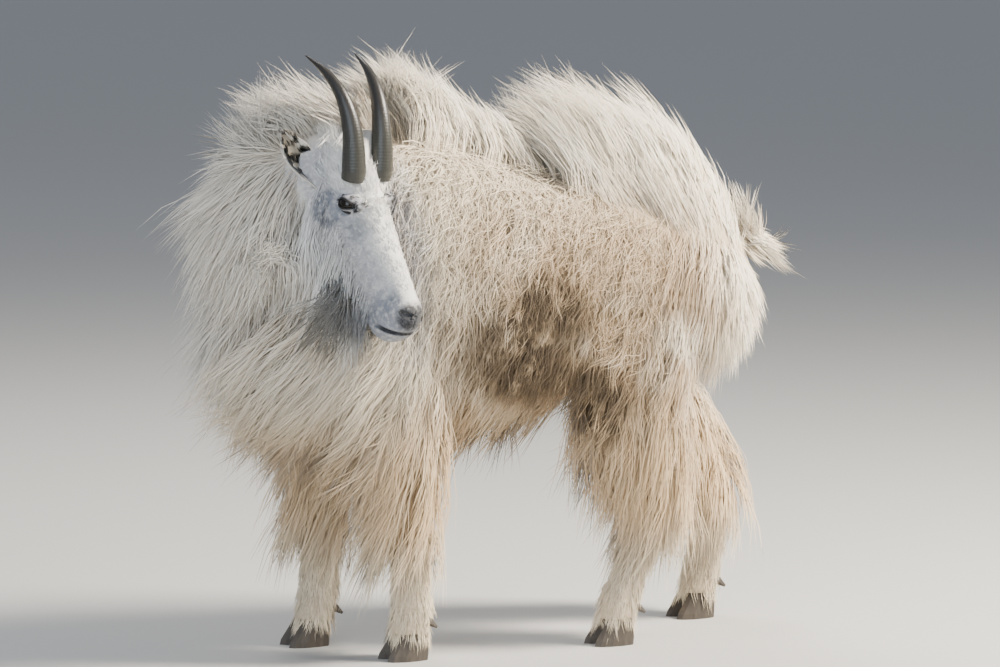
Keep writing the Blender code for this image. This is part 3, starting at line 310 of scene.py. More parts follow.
def head_points():
    """Return rings of the head in its own frame, finest round the eyes and the nose."""
    low, high = HEAD[0][0], HEAD[-1][0]
    even = np.linspace(low, high, 2000)
    fine = 1 + 1.6 * bump_at(np.abs(even - EYE_AT[0]), 0.045) + 1.6 * bump_at(np.abs(even - 0.262), 0.065)
    spent = np.concatenate([[0], np.cumsum((fine[1:] + fine[:-1]) / 2)])
    a = np.interp(np.linspace(0, spent[-1], HEAD_RINGS), spent, even)
    angles = circle(HEAD_SIDES)
    top, under, half = (read_rows(HEAD, a) - np.array([FACE_DEEP, -FACE_DEEP, FACE_DEEP])).T[:, :, None]
    c = signed_power(np.cos(angles), 0.9)
    s = signed_power(np.sin(angles), 0.9)
    w = half * s * (1 - 0.14 * c)
    h = (top + under) / 2 + (top - under) / 2 * c
    a = a[:, None] + 0 * s
    side = np.sign(s)
    across = np.abs(w)

    # Brow over the eye, cheekbone below it, and the hollow in front of it
    across = across + 0.0015 * bump_at(np.hypot(a - 0.036, (h + 0.020) * 1.3), 0.030)
    across = across + 0.004 * bump_at(np.hypot((a - 0.085) * 0.45, h + 0.062), 0.022)
    across = across - 0.004 * bump_at(np.hypot((a - 0.092) * 0.6, h + 0.036), 0.020)
    # The jaw's muscle, the nose's bridge and the wing of the nostril
    across = across + 0.004 * bump_at(np.hypot(a - 0.030, (h + 0.095) * 0.8), 0.045)
    across = across + 0.0045 * bump_at(np.hypot(a - 0.258, (h + 0.036) * 1.1), 0.022)
    ahead = (a - NOSTRIL_AT[0]) * NOSTRIL_WAY[0] + (h - NOSTRIL_AT[1]) * NOSTRIL_WAY[1]
    beside = (h - NOSTRIL_AT[1]) * NOSTRIL_WAY[0] - (a - NOSTRIL_AT[0]) * NOSTRIL_WAY[1]
    across = across - 0.0120 * bump_at(np.hypot(ahead / NOSTRIL[0], beside / NOSTRIL[1]), 1.0)
    # The upper lip's swell and the round chin
    across = across + 0.0030 * bump_at(np.hypot(a - 0.245, (h + 0.066) * 1.2), 0.026)
    across = across + 0.0030 * bump_at(np.hypot(a - 0.250, (h + 0.104) * 1.2), 0.024)
    # The mouth's line with full lips on both sides of it
    fade = np.clip((a - MOUTH_CORNER[0]) / 0.018, 0, 1)
    line = np.abs(h - MOUTH_CORNER[1] - (a - MOUTH_CORNER[0]) * MOUTH_RISE)
    across = across - fade * 0.0085 * bump_at(line, 0.0055)
    across = across + fade * 0.0020 * bump_at(np.abs(line - 0.008), 0.007)
    # The surface sinks behind the eyeball, where the lids cover it
    away = np.hypot(a - EYE_AT[0], h - EYE_AT[1])
    across = np.where(away < EYE_HOLE, np.minimum(across, EYE_SET), across)
    # A cleft in the upper lip
    h = h - 0.003 * bump_at(np.abs(w), 0.003) * np.clip((a - 0.265) / 0.012, 0, 1) * (c > -0.2)
    return np.stack([a, h, side * across], axis=-1)


HEAD_AXES = np.array([HEAD_A, HEAD_H, HEAD_W])
head_skin = add_mesh("head_skin", *loft(head_points() @ HEAD_AXES + np.array(HEAD_AT)))
body_parts = [
    loft(trunk_rings(np.linspace(TRUNK[0][0], TRUNK[-1][0], 60), 48)),
    loft(neck_rings(np.linspace(0, 1.2, 40), 40)),
    loft(tail_rings(16)),
]
for kind, rows in (("fore", FORE), ("hind", HIND)):
    for side in ("left", "right"):
        body_parts.append(loft(leg_rings(kind, side, np.linspace(rows[0][0], rows[-1][0], 60), 32)))
edit = bmesh.new()
for points, faces in body_parts:
    part = add_mesh("part", points, faces)
    edit.from_mesh(part.data)
    bpy.data.objects.remove(part)
body_mesh = bpy.data.meshes.new("skin")
edit.to_mesh(body_mesh)
edit.free()
skin = put("skin", body_mesh)
remesh = skin.modifiers.new("melt", "REMESH")
remesh.mode = "VOXEL"
remesh.voxel_size = SKIN_GRAIN
smooth = skin.modifiers.new("smooth", "SMOOTH")
smooth.iterations = SKIN_SMOOTHING
smooth.factor = 0.6
apply_modifiers(skin)


def surface_tree(piece):
    """Return a tree of a piece's surface, to find the nearest place on it."""
    corners = [vertex.co for vertex in piece.data.vertices]
    return BVHTree.FromPolygons(corners, [face.vertices[:] for face in piece.data.polygons])


body_tree = surface_tree(skin)
head_tree = surface_tree(head_skin)
union = skin.modifiers.new("head", "BOOLEAN")
union.operation = "UNION"
union.object = head_skin
apply_modifiers(skin)
bpy.data.objects.remove(head_skin)
skin.data.shade_smooth()


class Socket:
    """A shader's socket, or a whole tree before any socket, that makes nodes from Python expressions."""

    def __init__(self, tree, link=None):
        self.tree = tree
        self.link = link

    def node(self, kind, settings, sockets, out=0):
        """Add a node of a type with its settings and its sockets' values or links."""
        made = self.tree.nodes.new("ShaderNode" + kind)
        for key, value in settings.items():
            setattr(made, key, value)
        for key, value in sockets.items():
            if isinstance(value, Socket):
                self.tree.links.new(value.link, made.inputs[key])
            else:
                made.inputs[key].default_value = value
        return Socket(self.tree, made.outputs[out])

    def maths(self, operation, first, second=0.0):
        return self.node("Math", {"operation": operation}, {0: first, 1: second})

    def __add__(self, other):
        return self.maths("ADD", self, other)

    def __radd__(self, other):
        return self.maths("ADD", other, self)

    def __sub__(self, other):
        return self.maths("SUBTRACT", self, other)

    def __rsub__(self, other):
        return self.maths("SUBTRACT", other, self)

    def __mul__(self, other):
        return self.maths("MULTIPLY", self, other)

    def __rmul__(self, other):
        return self.maths("MULTIPLY", other, self)

    def __pow__(self, other):
        return self.maths("POWER", self, other)

    def step(self, low, high):
        """Return 0 below one value and 1 above another, smooth between."""
        settings = {"interpolation_type": "SMOOTHSTEP"}
        return self.node("MapRange", settings, {"Value": self, "From Min": low, "From Max": high})

    def mix(self, first, second):
        """Mix two colours by this factor."""
        colours = [c if isinstance(c, Socket) else (*c, 1) for c in (first, second)]
        return self.node("Mix", {"data_type": "RGBA"}, {0: self, 6: colours[0], 7: colours[1]}, 2)

    def noise(self, scale, detail=2.0, rough=0.5, stretch=None):
        """Noise over this place, in lumps of about 1 / scale metres."""
        place = self
        if stretch:
            place = self.node("VectorMath", {"operation": "MULTIPLY"}, {0: self, 1: stretch})
        sockets = {"Vector": place, "Scale": scale, "Detail": detail, "Roughness": rough}
        return self.node("TexNoise", {}, sockets)

    def near(self, x, y, z, reach):
        """Return 1 at a place of the goat's own frame, falling to 0 at the reach."""
        spot = (x + SHIFT.x, y + SHIFT.y, z)
        return 1 - self.away(*spot).step(reach * 0.25, reach)

    def away(self, x, y, z):
        return self.node("VectorMath", {"operation": "DISTANCE"}, {0: self, 1: (x, y, z)}, 1)

    def read(self, name):
        """Return a value that the mesh keeps at its corners."""
        return self.node("Attribute", {"attribute_name": name}, {}, 2)


def new_material(name, **constants):
    """Return a material, its place on the surface, and its shader with constants on its own sockets."""
    made = bpy.data.materials.new(name)
    made.use_nodes = True
    shader = made.node_tree.nodes["Principled BSDF"]
    for key, value in constants.items():
        shader.inputs[key.replace("_", " ").title().replace("Ior", "IOR")].default_value = value
    return made, Socket(made.node_tree).node("NewGeometry", {}, {}), shader


def paint(shader, colour, height=None, strength=0.0, deep=0.0):
    """Give a shader its colour and, from a height, the small bumps of its surface."""
    colour.tree.links.new(colour.link, shader.inputs["Base Color"])
    if height:
        bumps = height.node("Bump", {}, {"Strength": strength, "Distance": deep, "Height": height})
        bumps.tree.links.new(bumps.link, shader.inputs["Normal"])


# The winter coat's markings, the same on skin and hair: cream white above, sallow and felted on the
# flanks, with olive brown stains behind the shoulder and under the belly, tan on the legs, and cool
# white on the ruff, beard and face, with painted blue-grey shade on the face's sides, round the eyes
# and on the muzzle. The lids, lips and nose are dark and almost bare.
CREAM = (0.86, 0.745, 0.57)
SALLOW = (0.52, 0.355, 0.20)
STAIN = (0.12, 0.080, 0.042)
RUST = (0.50, 0.30, 0.13)
LEG_TAN = (0.66, 0.44, 0.23)
COOL_WHITE = (0.82, 0.75, 0.65)
FACE_WHITE = (0.84, 0.82, 0.78)
FACE_SHADE_GREY = (0.20, 0.215, 0.255)
FACE_SHADE_MOTTLE = (0.40, 0.39, 0.42)
NOSE_BLACK = (0.013, 0.012, 0.013)
# Each stain's middle and reach, and the same for the rust on the hump
STAINS = (
    (-0.07, -0.20, 0.54, 0.13),
    (0.01, -0.20, 0.61, 0.11),
    (0.00, -0.18, 0.47, 0.12),
    (0.11, -0.17, 0.44, 0.11),
    (0.08, 0.16, 0.50, 0.20),
)
RUST_SPOT = (-0.312, -0.08, 1.00, 0.08)


def from_head(place, a, h, w):
    """Return how far a place lies from a spot of the head."""
    return place.away(*(in_head(a, h, w) + SHIFT))


def head_part(place, axis):
    """Return how far a place lies along one of the head's axes."""
    along = place.node("VectorMath", {"operation": "DOT_PRODUCT"}, {0: place, 1: tuple(axis)}, 1)
    return along - axis.dot(HEAD_AT + SHIFT)


def markings_and_shade(place):
    """Return the colour of the coat at a place, with painted shade on the face."""
    x, height = [place.node("SeparateXYZ", {}, {0: place}, k) for k in (0, 2)]
    flank = (1 - height.step(0.70, 0.93)) * height.step(0.28, 0.45)
    flank = flank * x.step(-0.24, -0.08) * (1 - x.step(0.30, 0.44))
    colour = (flank * place.noise(7.0, 3.0, 0.6).step(0.22, 0.55) * 0.95).mix(CREAM, SALLOW)
    legs = (1 - height.step(0.32, 0.52)) * height.step(0.10, 0.26)
    colour = (legs * 0.85).mix(colour, LEG_TAN)
    front = 1 - x.step(-0.42, -0.24)
    colour = (front * height.step(0.36, 0.56) * 0.85).mix(colour, COOL_WHITE)
    stain = sum((place.near(*spot) for spot in STAINS[1:]), place.near(*STAINS[0]))
    stain = stain * place.noise(19.0, 3.0, 0.65).step(0.32, 0.54) * 1.1
    colour = stain.maths("MINIMUM", stain, 0.92).mix(colour, STAIN)
    colour = (place.near(*RUST_SPOT) * place.noise(30.0).step(0.4, 0.6) * 0.6).mix(colour, RUST)

    # The face: w is the same on both sides, so each marking and each painted shade lies on both
    a, h, w = [head_part(place, axis) for axis in (HEAD_A, HEAD_H, HEAD_W)]
    w = w.maths("ABSOLUTE", w)
    face = a.step(-0.11, -0.05) * (1 - a.step(0.31, 0.33)) * h.step(-0.19, -0.13) * (1 - w.step(0.09, 0.13))
    colour = face.mix(colour, FACE_WHITE)
    spot = place.node("CombineXYZ", {}, {0: a, 1: h, 2: w})
    mottle = place.noise(120.0, 3.0).step(0.25, 0.60)
    # Painted shade, blue-grey and mottled, on the face's sides below the eyes
    side = (1 - h.step(-0.050, -0.016)) * h.step(-0.130, -0.085)
    colour = (side * face * (0.30 + mottle * 0.55)).mix(colour, FACE_SHADE_MOTTLE)
    # Painted shade, blue-grey: behind the eye, under the brow, in the hollow in front of the eye and on the
    # muzzle's sides
    temple = (1 - spot.away(0.038, -0.069, 0.055).step(0.016, 0.042)) * 1.6
    brow = (1 - spot.away(0.050, -0.028, 0.050).step(0.012, 0.034)) * 0.55
    hollow_shade = (1 - spot.away(0.095, -0.036, 0.040).step(0.010, 0.045)) * 0.5
    muzzle = a.step(0.200, 0.245) * (1 - h.step(-0.024, -0.014)) * h.step(-0.138, -0.118)
    painted_shade = (temple + brow + hollow_shade) * h.step(-0.122, -0.104) + muzzle * 0.90
    colour = (painted_shade.maths("MINIMUM", painted_shade, 0.88) * face * (0.45 + mottle * 0.55)).mix(colour, FACE_SHADE_GREY)

    # The nostril, the bare skin round it and the line between the lips
    long, wide = NOSTRIL
    ahead = (a - NOSTRIL_AT[0]) * NOSTRIL_WAY[0] + (h - NOSTRIL_AT[1]) * NOSTRIL_WAY[1]
    beside = (h - NOSTRIL_AT[1]) * NOSTRIL_WAY[0] - (a - NOSTRIL_AT[0]) * NOSTRIL_WAY[1]
    ahead = ahead * (1 / long)
    beside = beside * (1 / wide)
    hole = (ahead * ahead + beside * beside) ** 0.5
    pad = (1 - spot.away(0.287, -0.022, 0.009).step(0.016, 0.038)) * 1.25
    gape = h - MOUTH_CORNER[1] - (a - MOUTH_CORNER[0]) * MOUTH_RISE
    opened = a.step(MOUTH_CORNER[0] - 0.006, MOUTH_CORNER[0] + 0.018)
    lips = (1 - gape.maths("ABSOLUTE", gape).step(0.0038, 0.0080)) * opened
    pad = pad * (0.6 + place.noise(150.0).step(0.3, 0.6) * 0.4)
    dark = (1 - hole.step(0.75, 1.25)) * face + pad + lips * face
    return dark.maths("MINIMUM", dark, 0.96).mix(colour, NOSE_BLACK)


WOOL_SHADE = (0.50, 0.385, 0.25)
skin_material, place, shader = new_material("skin", roughness=0.85, sheen_weight=0.08)
felt = place.noise(260.0, 4.0, 0.7)
bare = from_head(place, 0.10, -0.06, 0.0).step(0.19, 0.25)
# Painted shade between the hairs: grey blotches on the skin under the head's fur
colour = (0.30 * (1 - felt.step(0.30, 0.62))).mix(markings_and_shade(place), FACE_SHADE_GREY)
# On the body the skin under the coat takes the wool's darker underfur colour with painted shade, in blotches
colour = (bare * (0.50 + (1 - felt.step(0.35, 0.65)) * 0.3)).mix(colour, WOOL_SHADE)
paint(shader, colour, felt, 0.6, 0.002)
skin.data.materials.append(skin_material)


def triples(items, key, kind=float):
    """Return the three numbers that each corner or triangle of a mesh keeps under a name."""
    values = np.empty(len(items) * 3, kind)
    items.foreach_get(key, values)
    return values.reshape(-1, 3)


def settle(piece, *nodes, slot="coat"):
    """Move a piece from the goat's own frame to the solids' place and let it ride there."""
    corners = triples(piece.data.vertices, "co") + np.array(SHIFT)
    piece.data.vertices.foreach_set("co", corners.ravel())
    piece.data.update()
    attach(piece, "root")
    if nodes:
        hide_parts(*nodes)


class Ground:
    """A surface that hair grows on: its corners, their normals, its triangles, and a tree of them."""

    def __init__(self, piece):
        shape = piece.data
        shape.calc_loop_triangles()
        self.corners = triples(shape.vertices, "co")
        self.turns = triples(shape.vertices, "normal")
        self.triangles = triples(shape.loop_triangles, "vertices", int)
        first, second, third = self.corners[self.triangles].transpose(1, 0, 2)
        self.middles = self.corners[self.triangles].mean(axis=1)
        self.facing = self.turns[self.triangles].mean(axis=1)
        self.areas = np.linalg.norm(np.cross(second - first, third - first), axis=1) / 2
        self.tree = surface_tree(piece)


skin_ground = Ground(skin)
of_head = np.array([head_tree.find_nearest(Vector(spot))[3] < 0.0003 for spot in skin_ground.middles])
legs = [
    f"{kind}leg_{side}_{part}"
    for kind in ("fore", "hind") for side in ("left", "right") for part in ("upper", "lower")
]
settle(skin, "torso", "neck", "head", "tail", "beard", *legs)


# The ears: thin cupped leaves of gristle in short fur, dark inside, where the skin is almost bare
# and painted shade deepens the cup, with a fringe of longer hair on their rims. They stand out sideways
# and back from behind the horns.
EAR_AT = (-0.020, -0.075, 0.052)
EAR_WAY = (-0.85, 0.15, 0.48)
EAR_CUP = (0.30, 0.80, 0.35)
EAR_LENGTH = 0.120
EAR_THICK = 0.0036
EAR_SUNK = 0.12
EAR_RINGS = 60
EAR_STEPS = 30
EAR_WHITE = (0.80, 0.76, 0.68)
EAR_SHADE = (0.62, 0.56, 0.47)
EAR_BARE_AND_SHADE = (0.23, 0.19, 0.135)
EAR = (
    (0.00, 0.011, 1.70),
    (0.15, 0.014, 1.60),
    (0.35, 0.022, 1.30),
    (0.60, 0.0255, 1.05),
    (0.80, 0.019, 0.85),
    (1.00, 0.004, 0.60),
)
ear_material, place, shader = new_material("ear", roughness=0.85, sheen_weight=0.3)
nap = place.noise(420.0, 3.0, 0.6, (1.0, 1.0, 0.4))
colour = nap.mix(EAR_SHADE, EAR_WHITE)
# The middle of the cup's inside: bare skin with painted shade
colour = (place.read("inside").step(0.50, 0.95) * 0.85).mix(colour, EAR_BARE_AND_SHADE)
paint(shader, colour, nap, 0.5, 0.001)


def unit(vectors):
    return vectors / np.maximum(np.linalg.norm(vectors, axis=-1, keepdims=True), 1e-9)


def ear_rings(out):
    """Return the ear's rings, down its back and up its inside, and how deep in the cup each point is."""
    root = np.array(in_head(EAR_AT[0], EAR_AT[1], out * EAR_AT[2]))
    way = unit(HEAD_AXES[0] * EAR_WAY[0] + HEAD_AXES[1] * EAR_WAY[1] + HEAD_AXES[2] * (out * EAR_WAY[2]))
    cup = HEAD_AXES[0] * EAR_CUP[0] + HEAD_AXES[1] * EAR_CUP[1] + HEAD_AXES[2] * (out * EAR_CUP[2])
    cup = unit(cup - way * (cup @ way))
    across = np.cross(way, cup)
    shares = np.linspace(0, 1, EAR_RINGS)
    half, curl = read_rows(EAR, shares).T[:, :, None]
    spans = np.linspace(-1, 1, EAR_STEPS)
    angle = (curl * spans)[..., None]
    inward = cup * np.cos(angle) - across * np.sin(angle)
    radius = (half / np.sin(np.minimum(curl, math.pi / 2)))[..., None]
    middle = root + way * (EAR_LENGTH * (shares[:, None, None] - EAR_SUNK))
    wall = middle + cup * (radius - half[..., None] * 0.6) - inward * radius
    thick = EAR_THICK * np.sqrt(1 - 0.8 * spans**2)[None, :, None]
    rings = np.concatenate([wall - inward * thick / 2, (wall + inward * thick / 2)[:, ::-1]], axis=1)
    deep = np.concatenate([np.zeros(EAR_STEPS), 1 - spans**2])
    return rings, np.append(np.tile(deep, EAR_RINGS), (0.0, 0.0))


ear_grounds = {}
ear_ways = {}
for side, out in (("left", 1), ("right", -1)):
    rings, deep = ear_rings(out)
    ear = add_mesh(f"ear_cup_{side}", *loft(rings))
    ear.data.attributes.new("inside", "FLOAT", "POINT").data.foreach_set("value", deep)
    ear.data.materials.append(ear_material)
    ear_grounds[side] = Ground(ear)
    ear_ways[side] = unit(rings[-1].mean(axis=0) - rings[0].mean(axis=0))
    settle(ear, f"ear_{side}", slot="ear")


# How hair grows: clumps of tapered strands, each a closed three-sided tube, rooted on the skin. A
# clump's strands share one path, which leaves the skin and bends to the lie of the coat, and draw
# together towards its tip. Waves, curls and strays are drawn at random from a fixed seed.
RNG = np.random.default_rng(11)
ROOT_SUNK = 0.003
BAKE_PATCH = 0.003
# Hair of the body keeps this far from the head and the ears, and the head's own from the ears
HEAD_ROOM = 0.006
EAR_ROOM = 0.032
CROWN_ROOM = 0.012
# The coat's tips keep within this box, just off the floor
COAT_LOW = (-0.665, -0.310, 0.004)
COAT_HIGH = (0.655, 0.310, 1.120)
# Lengths of clumps differ by this share, and a strand is this thick for its width
UNEVEN = 0.25
FLAT = 0.8
# A strand is shaded partly like the coat's surface, as light passes through fine hair
SOFT_SHADE = 0.55


def smooth_step(values, low, high):
    t = np.clip((values - low) / (high - low), 0, 1)
    return t * t * (3 - 2 * t)


def scatter(count, chosen, ground, on_face):
    """Return places and normals of so many clumps, evenly over the chosen part of a surface."""
    share = ground.areas * np.clip(chosen(ground.middles, unit(ground.facing)), 0, 1)
    if ground is skin_ground:
        share = share * (of_head == on_face)
    picked = ground.triangles[RNG.choice(len(share), size=count, p=share / share.sum())]
    u = RNG.random((count, 1))
    v = RNG.random((count, 1))
    over = (u + v > 1)[:, 0]
    u[over] = 1 - u[over]
    v[over] = 1 - v[over]
    weights = np.stack([1 - u - v, u, v], axis=1)
    places = (ground.corners[picked] * weights).sum(axis=1)
    normals = unit((ground.turns[picked] * weights).sum(axis=1))
    return places, normals


def clump_paths(places, normals, lie, length, stand, bends, drop, ground, on_face):
    """Return the middle line of each clump, and whether it stays clear of the head."""
    way = unit(lie - normals * (lie * normals).sum(axis=1, keepdims=True))
    paths = [places - normals * ROOT_SUNK]
    step = (length / bends)[:, None]
    for k in range(bends):
        t = (k + 0.5) / bends
        rise = stand[:, None] * (1 - t) ** 1.3
        heading = normals * rise + way * (1 - rise) * (1 - t * drop) + lie * (t * drop)
        paths.append(paths[-1] + unit(heading) * step)
    paths = np.stack(paths, axis=1)
    clear = np.ones(len(paths), bool)
    tree = ground.tree if on_face else body_tree
    room = CROWN_ROOM if on_face else EAR_ROOM
    ears = [ear.tree for ear in ear_grounds.values()] if ground is skin_ground else []
    for i in range(len(paths)):
        for k in range(1, bends + 1):
            point = Vector(paths[i, k])
            halfway = point.lerp(Vector(paths[i, k - 1]), 0.5)
            clear[i] = not any(ear.find_nearest(spot, room)[0] for ear in ears for spot in (point, halfway))
            if not on_face and clear[i]:
                near, normal, _, away = head_tree.find_nearest(point)
                clear[i] = away > HEAD_ROOM and (point - near).dot(normal) > 0
            if not clear[i]:
                break
            # Whatever would pass through the body is laid on it
            near, normal, _, _ = tree.find_nearest(point)
            least = min(0.004 + 0.004 * k / bends, length[i] * 0.10)
            height = (point - near).dot(normal)
            if height < least:
                paths[i, k:] += np.array(normal) * (least - height)
    return paths, clear


def size_along(axis, stops):
    """Return a size that varies along one of the goat's axes, from stops of (place, size)."""
    return lambda places: np.interp(places[:, axis], *np.array(stops).T)


def strand_faces(bends):
    """Return the triangles of a closed three-sided strand that ends in a point."""
    faces = [(0, 1, 2)]
    for r in range(bends - 1):
        for k in range(3):
            a = 3 * r + k
            b = 3 * r + (k + 1) % 3
            faces += [(b, a, b + 3), (b + 3, a, a + 3)]
    last = 3 * bends
    return np.array(faces + [(last - 3 + (k + 1) % 3, last - 3 + k, last) for k in range(3)])


def bake_places(roots):
    """Unroll the roots of a piece round its longest direction onto a unit square."""
    main = int(np.argmax(np.ptp(roots, axis=0)))
    first, second = [k for k in range(3) if k != main]
    middle = roots.mean(axis=0)
    turn = np.arctan2(roots[:, second] - middle[second], roots[:, first] - middle[first])
    turn = turn / (2 * math.pi) + 0.5
    level = (roots[:, main] - roots[:, main].min()) / np.ptp(roots[:, main])
    return 0.005 + 0.985 * np.stack([turn, level], axis=1)


def grow(name, material, count, chosen, comb, length, stand, strands=8, bends=4, width=0.0019,
         spread=0.016, draw=0.55, wave=0.005, waves=1.2, curl=0.0, curls=1.0, stray=0.07, drop=0.6,
         unruly=0.10, pale=0.0, ground=skin_ground, on_face=False, slot="coat"):
    """Grow a piece of coat from so many clumps, over the chosen part of the ground.

    Each clump of strands is combed along comb, rises from the skin by stand and falls by drop. The
    strands start within spread of its middle, draw together, wave as one, curl and stray each alone.
    """
    places, normals = scatter(count, chosen, ground, on_face)
    lie = unit(comb(places, normals) + RNG.normal(0, unruly, (count, 3)))
    lengths = (length(places) if callable(length) else length) * RNG.uniform(1 - UNEVEN, 1 + UNEVEN, count)
    stands = stand(places, normals) if callable(stand) else stand
    stands = np.clip(stands * RNG.uniform(0.7, 1.3, count), 0, 1)
    paths, clear = clump_paths(places, normals, lie, lengths, stands, bends, drop, ground, on_face)
    paths, normals, lengths = paths[clear], normals[clear], lengths[clear]
    count = len(paths)

    # Each strand: its place in the clump, its own length, the clump's wave and its own curl
    along = unit(paths[:, -1] - paths[:, 0])
    across = unit(np.cross(along, normals))
    over = np.cross(across, along)
    t = np.linspace(0, 1, bends + 1)
    total = count * strands
    owner = np.repeat(np.arange(count), strands)
    turn = RNG.uniform(0, 2 * math.pi, total)
    reach = spread * np.sqrt(RNG.random(total))
    offset = across[owner] * (reach * np.cos(turn))[:, None]
    offset += unit(np.cross(normals, across))[owner] * (reach * np.sin(turn))[:, None]
    lines = paths[owner]
    shorter = RNG.uniform(0.72, 1.0, total)[:, None, None]
    gather = (1 - draw * t**0.8)[None, :, None]
    lines = lines[:, :1] + (lines - lines[:, :1]) * shorter + offset[:, None] * gather
    phase = RNG.uniform(0, 2 * math.pi, count)[owner][:, None]
    swing = wave * (np.sin(2 * math.pi * waves * t + phase) - np.sin(phase)) * t**0.7
    own = RNG.uniform(0, 2 * math.pi, total)[:, None]
    coil = 2 * math.pi * RNG.uniform(0.6, 1.4, total)[:, None] * curls * t + own
    size = curl * RNG.uniform(0.4, 1.3, total)[:, None]
    swing = swing + size * (np.sin(coil) - np.sin(own))
    rise = size * 0.6 * (np.cos(coil) - np.cos(own)) + size * 0.5 * t
    lines = lines + across[owner][:, None] * swing[..., None] + over[owner][:, None] * rise[..., None]
    lean = RNG.normal(0, stray, (total, 3)) * lengths[owner][:, None]
    lines = lines + lean[:, None] * (t[None, :, None] ** 1.5)

    lines = np.clip(lines, COAT_LOW, COAT_HIGH)

    # Three sides round each strand, with its ridge outwards, tapering to a point
    heading = unit(np.gradient(lines, axis=1))
    side = unit(np.cross(heading, over[owner][:, None]))
    up = np.cross(side, heading)
    swell = np.interp(t[:-1], (0, 0.3, 0.7, 1.0), (0.7, 1.0, 0.8, 0.2))
    thick = RNG.uniform(0.7, 1.3, total)[:, None] * (width / 2) * swell
    rings = np.stack([
        lines[:, :-1] + side[:, :-1] * (thick * math.cos(angle))[..., None]
        + up[:, :-1] * (thick * math.sin(angle) * FLAT)[..., None]
        for angle in (math.pi / 2, math.pi * 7 / 6, math.pi * 11 / 6)
    ], axis=2)
    points = np.concatenate([rings.reshape(total, bends * 3, 3), lines[:, -1:]], axis=1)
    around = unit(rings - lines[:, :-1, None]).reshape(total, bends * 3, 3)
    shading = np.concatenate([around, up[:, -1:]], axis=1) * (1 - SOFT_SHADE)
    shading = shading + normals[owner][:, None] * SOFT_SHADE
    per = bends * 3 + 1
    faces = (strand_faces(bends)[None] + (np.arange(total) * per)[:, None, None]).reshape(-1, 3)
    mesh = bpy.data.meshes.new(name)
    mesh.vertices.add(total * per)
    mesh.vertices.foreach_set("co", points.ravel())
    mesh.loops.add(faces.size)
    mesh.loops.foreach_set("vertex_index", faces.ravel())
    mesh.polygons.add(len(faces))
    mesh.polygons.foreach_set("loop_start", np.arange(len(faces)) * 3)
    mesh.update()
    mesh.shade_smooth()

    # What the hair's material reads: how far along and across the strand, and its own tone
    rank = np.append(np.repeat(t[:-1], 3), 1.0)
    edge = np.append(np.tile((0.0, -1.0, 1.0), bends), 0.0)
    tone = np.clip(RNG.normal(0.5 + pale, 0.15, count)[owner] + RNG.normal(0, 0.12, total), 0, 1)
    told = {"along": np.tile(rank, total), "across": np.tile(edge, total), "tone": np.repeat(tone, per)}
    for key, values in told.items():
        mesh.attributes.new(key, "FLOAT", "POINT").data.foreach_set("value", values)
    patch = np.stack([(edge + 1) / 2, rank], axis=1) * BAKE_PATCH
    spots = bake_places(lines[:, 0])[:, None] + patch
    mesh.uv_layers.new(name="OFBake").data.foreach_set("uv", spots.reshape(-1, 2)[faces.ravel()].ravel())
    mesh.materials.append(material)
    mesh.normals_split_custom_set_from_vertices(unit(shading).reshape(-1, 3))
    settle(put(name, mesh), slot=slot)


def hair_material(name, root_colour, root_share=0.6, bleach=(0.95, 0.90, 0.80), bleached=0.75, dull=0.3):
    """Hair: darker at the root, with dirt and painted shade, paler at the tip, in fine streaks along each
    strand.
    """
    made, place, shader = new_material(name, roughness=0.55, sheen_weight=0.35, sheen_roughness=0.4)
    along, across, tone = [place.read(key) for key in ("along", "across", "tone")]
    spot = place.node("CombineXYZ", {}, {0: across * 2.2 + tone * 60, 1: along * 0.8, 2: tone * 23})
    streak = spot.noise(2.2, 2.0, 0.6)
    marked = markings_and_shade(place)
    light = fleck(marked)
    pale = (tone * 0.7 + streak * 0.6).step(0.45, 1.0)
    dirty = 1 - (tone + streak * 0.7).step(0.30, 0.80)
    # Darker towards the root: the wool's dirt together with painted shade deep in the coat
    root_dirt_and_shade = 1 - (along + streak * 0.3).step(0.15, 0.65)
    colour = (pale * bleached * light).mix(marked, bleach)
    colour = (dirty * dull * light).mix(colour, root_colour)
    colour = (root_dirt_and_shade * root_share * light).mix(colour, root_colour)
    paint(shader, colour, streak, 0.4, 0.001)
    return made


def fleck(colour):
    """Return 1 on pale hair and 0 on hair that is dark all along."""
    return colour.node("RGBToBW", {}, {0: colour}).step(0.22, 0.60)


# The plume: dense, fine, straight white hair along the back. It rises from a parting high on each
# flank, leans forward at the front of the rump's crest and stands up on the hump and the nape.
PARTING = ((-0.45, 0.99), (-0.185, 0.925), (0.024, 0.868), (0.133, 0.810), (0.312, 0.738), (0.45, 0.70))
CREST_LEAN = (
    (-0.45, -0.40), (-0.26, -0.15), (-0.10, 0.00), (0.03, -0.20), (0.12, -0.42),
    (0.22, -0.58), (0.32, -0.50), (0.40, -0.35), (0.46, -0.20),
)
CREST_LONG = (
    (-0.36, 0.15), (-0.24, 0.185), (-0.08, 0.15), (0.05, 0.13),
    (0.14, 0.20), (0.22, 0.22), (0.34, 0.16), (0.42, 0.09),
)
PLUME_ROOT = (0.58, 0.44, 0.28)
WOOL_ROOT = (0.29, 0.185, 0.10)
WOOL_TIP = (0.90, 0.775, 0.58)
NECK_SEAM_AT = np.array((-0.30, 0.0, 0.76))
NECK_SEAM_WAY = np.array((-0.90, 0.0, 0.43))
HEAD_SEAM_AT = np.array((-0.357, -0.084, 0.8704))
HEAD_SEAM_WAY = np.array((0.090, -0.931, -0.354))


def on_trunk(places):
    """Return 1 on the trunk, behind the neck and above the legs."""
    return ((places - NECK_SEAM_AT) @ NECK_SEAM_WAY < 0) * (places[:, 2] > 0.43)


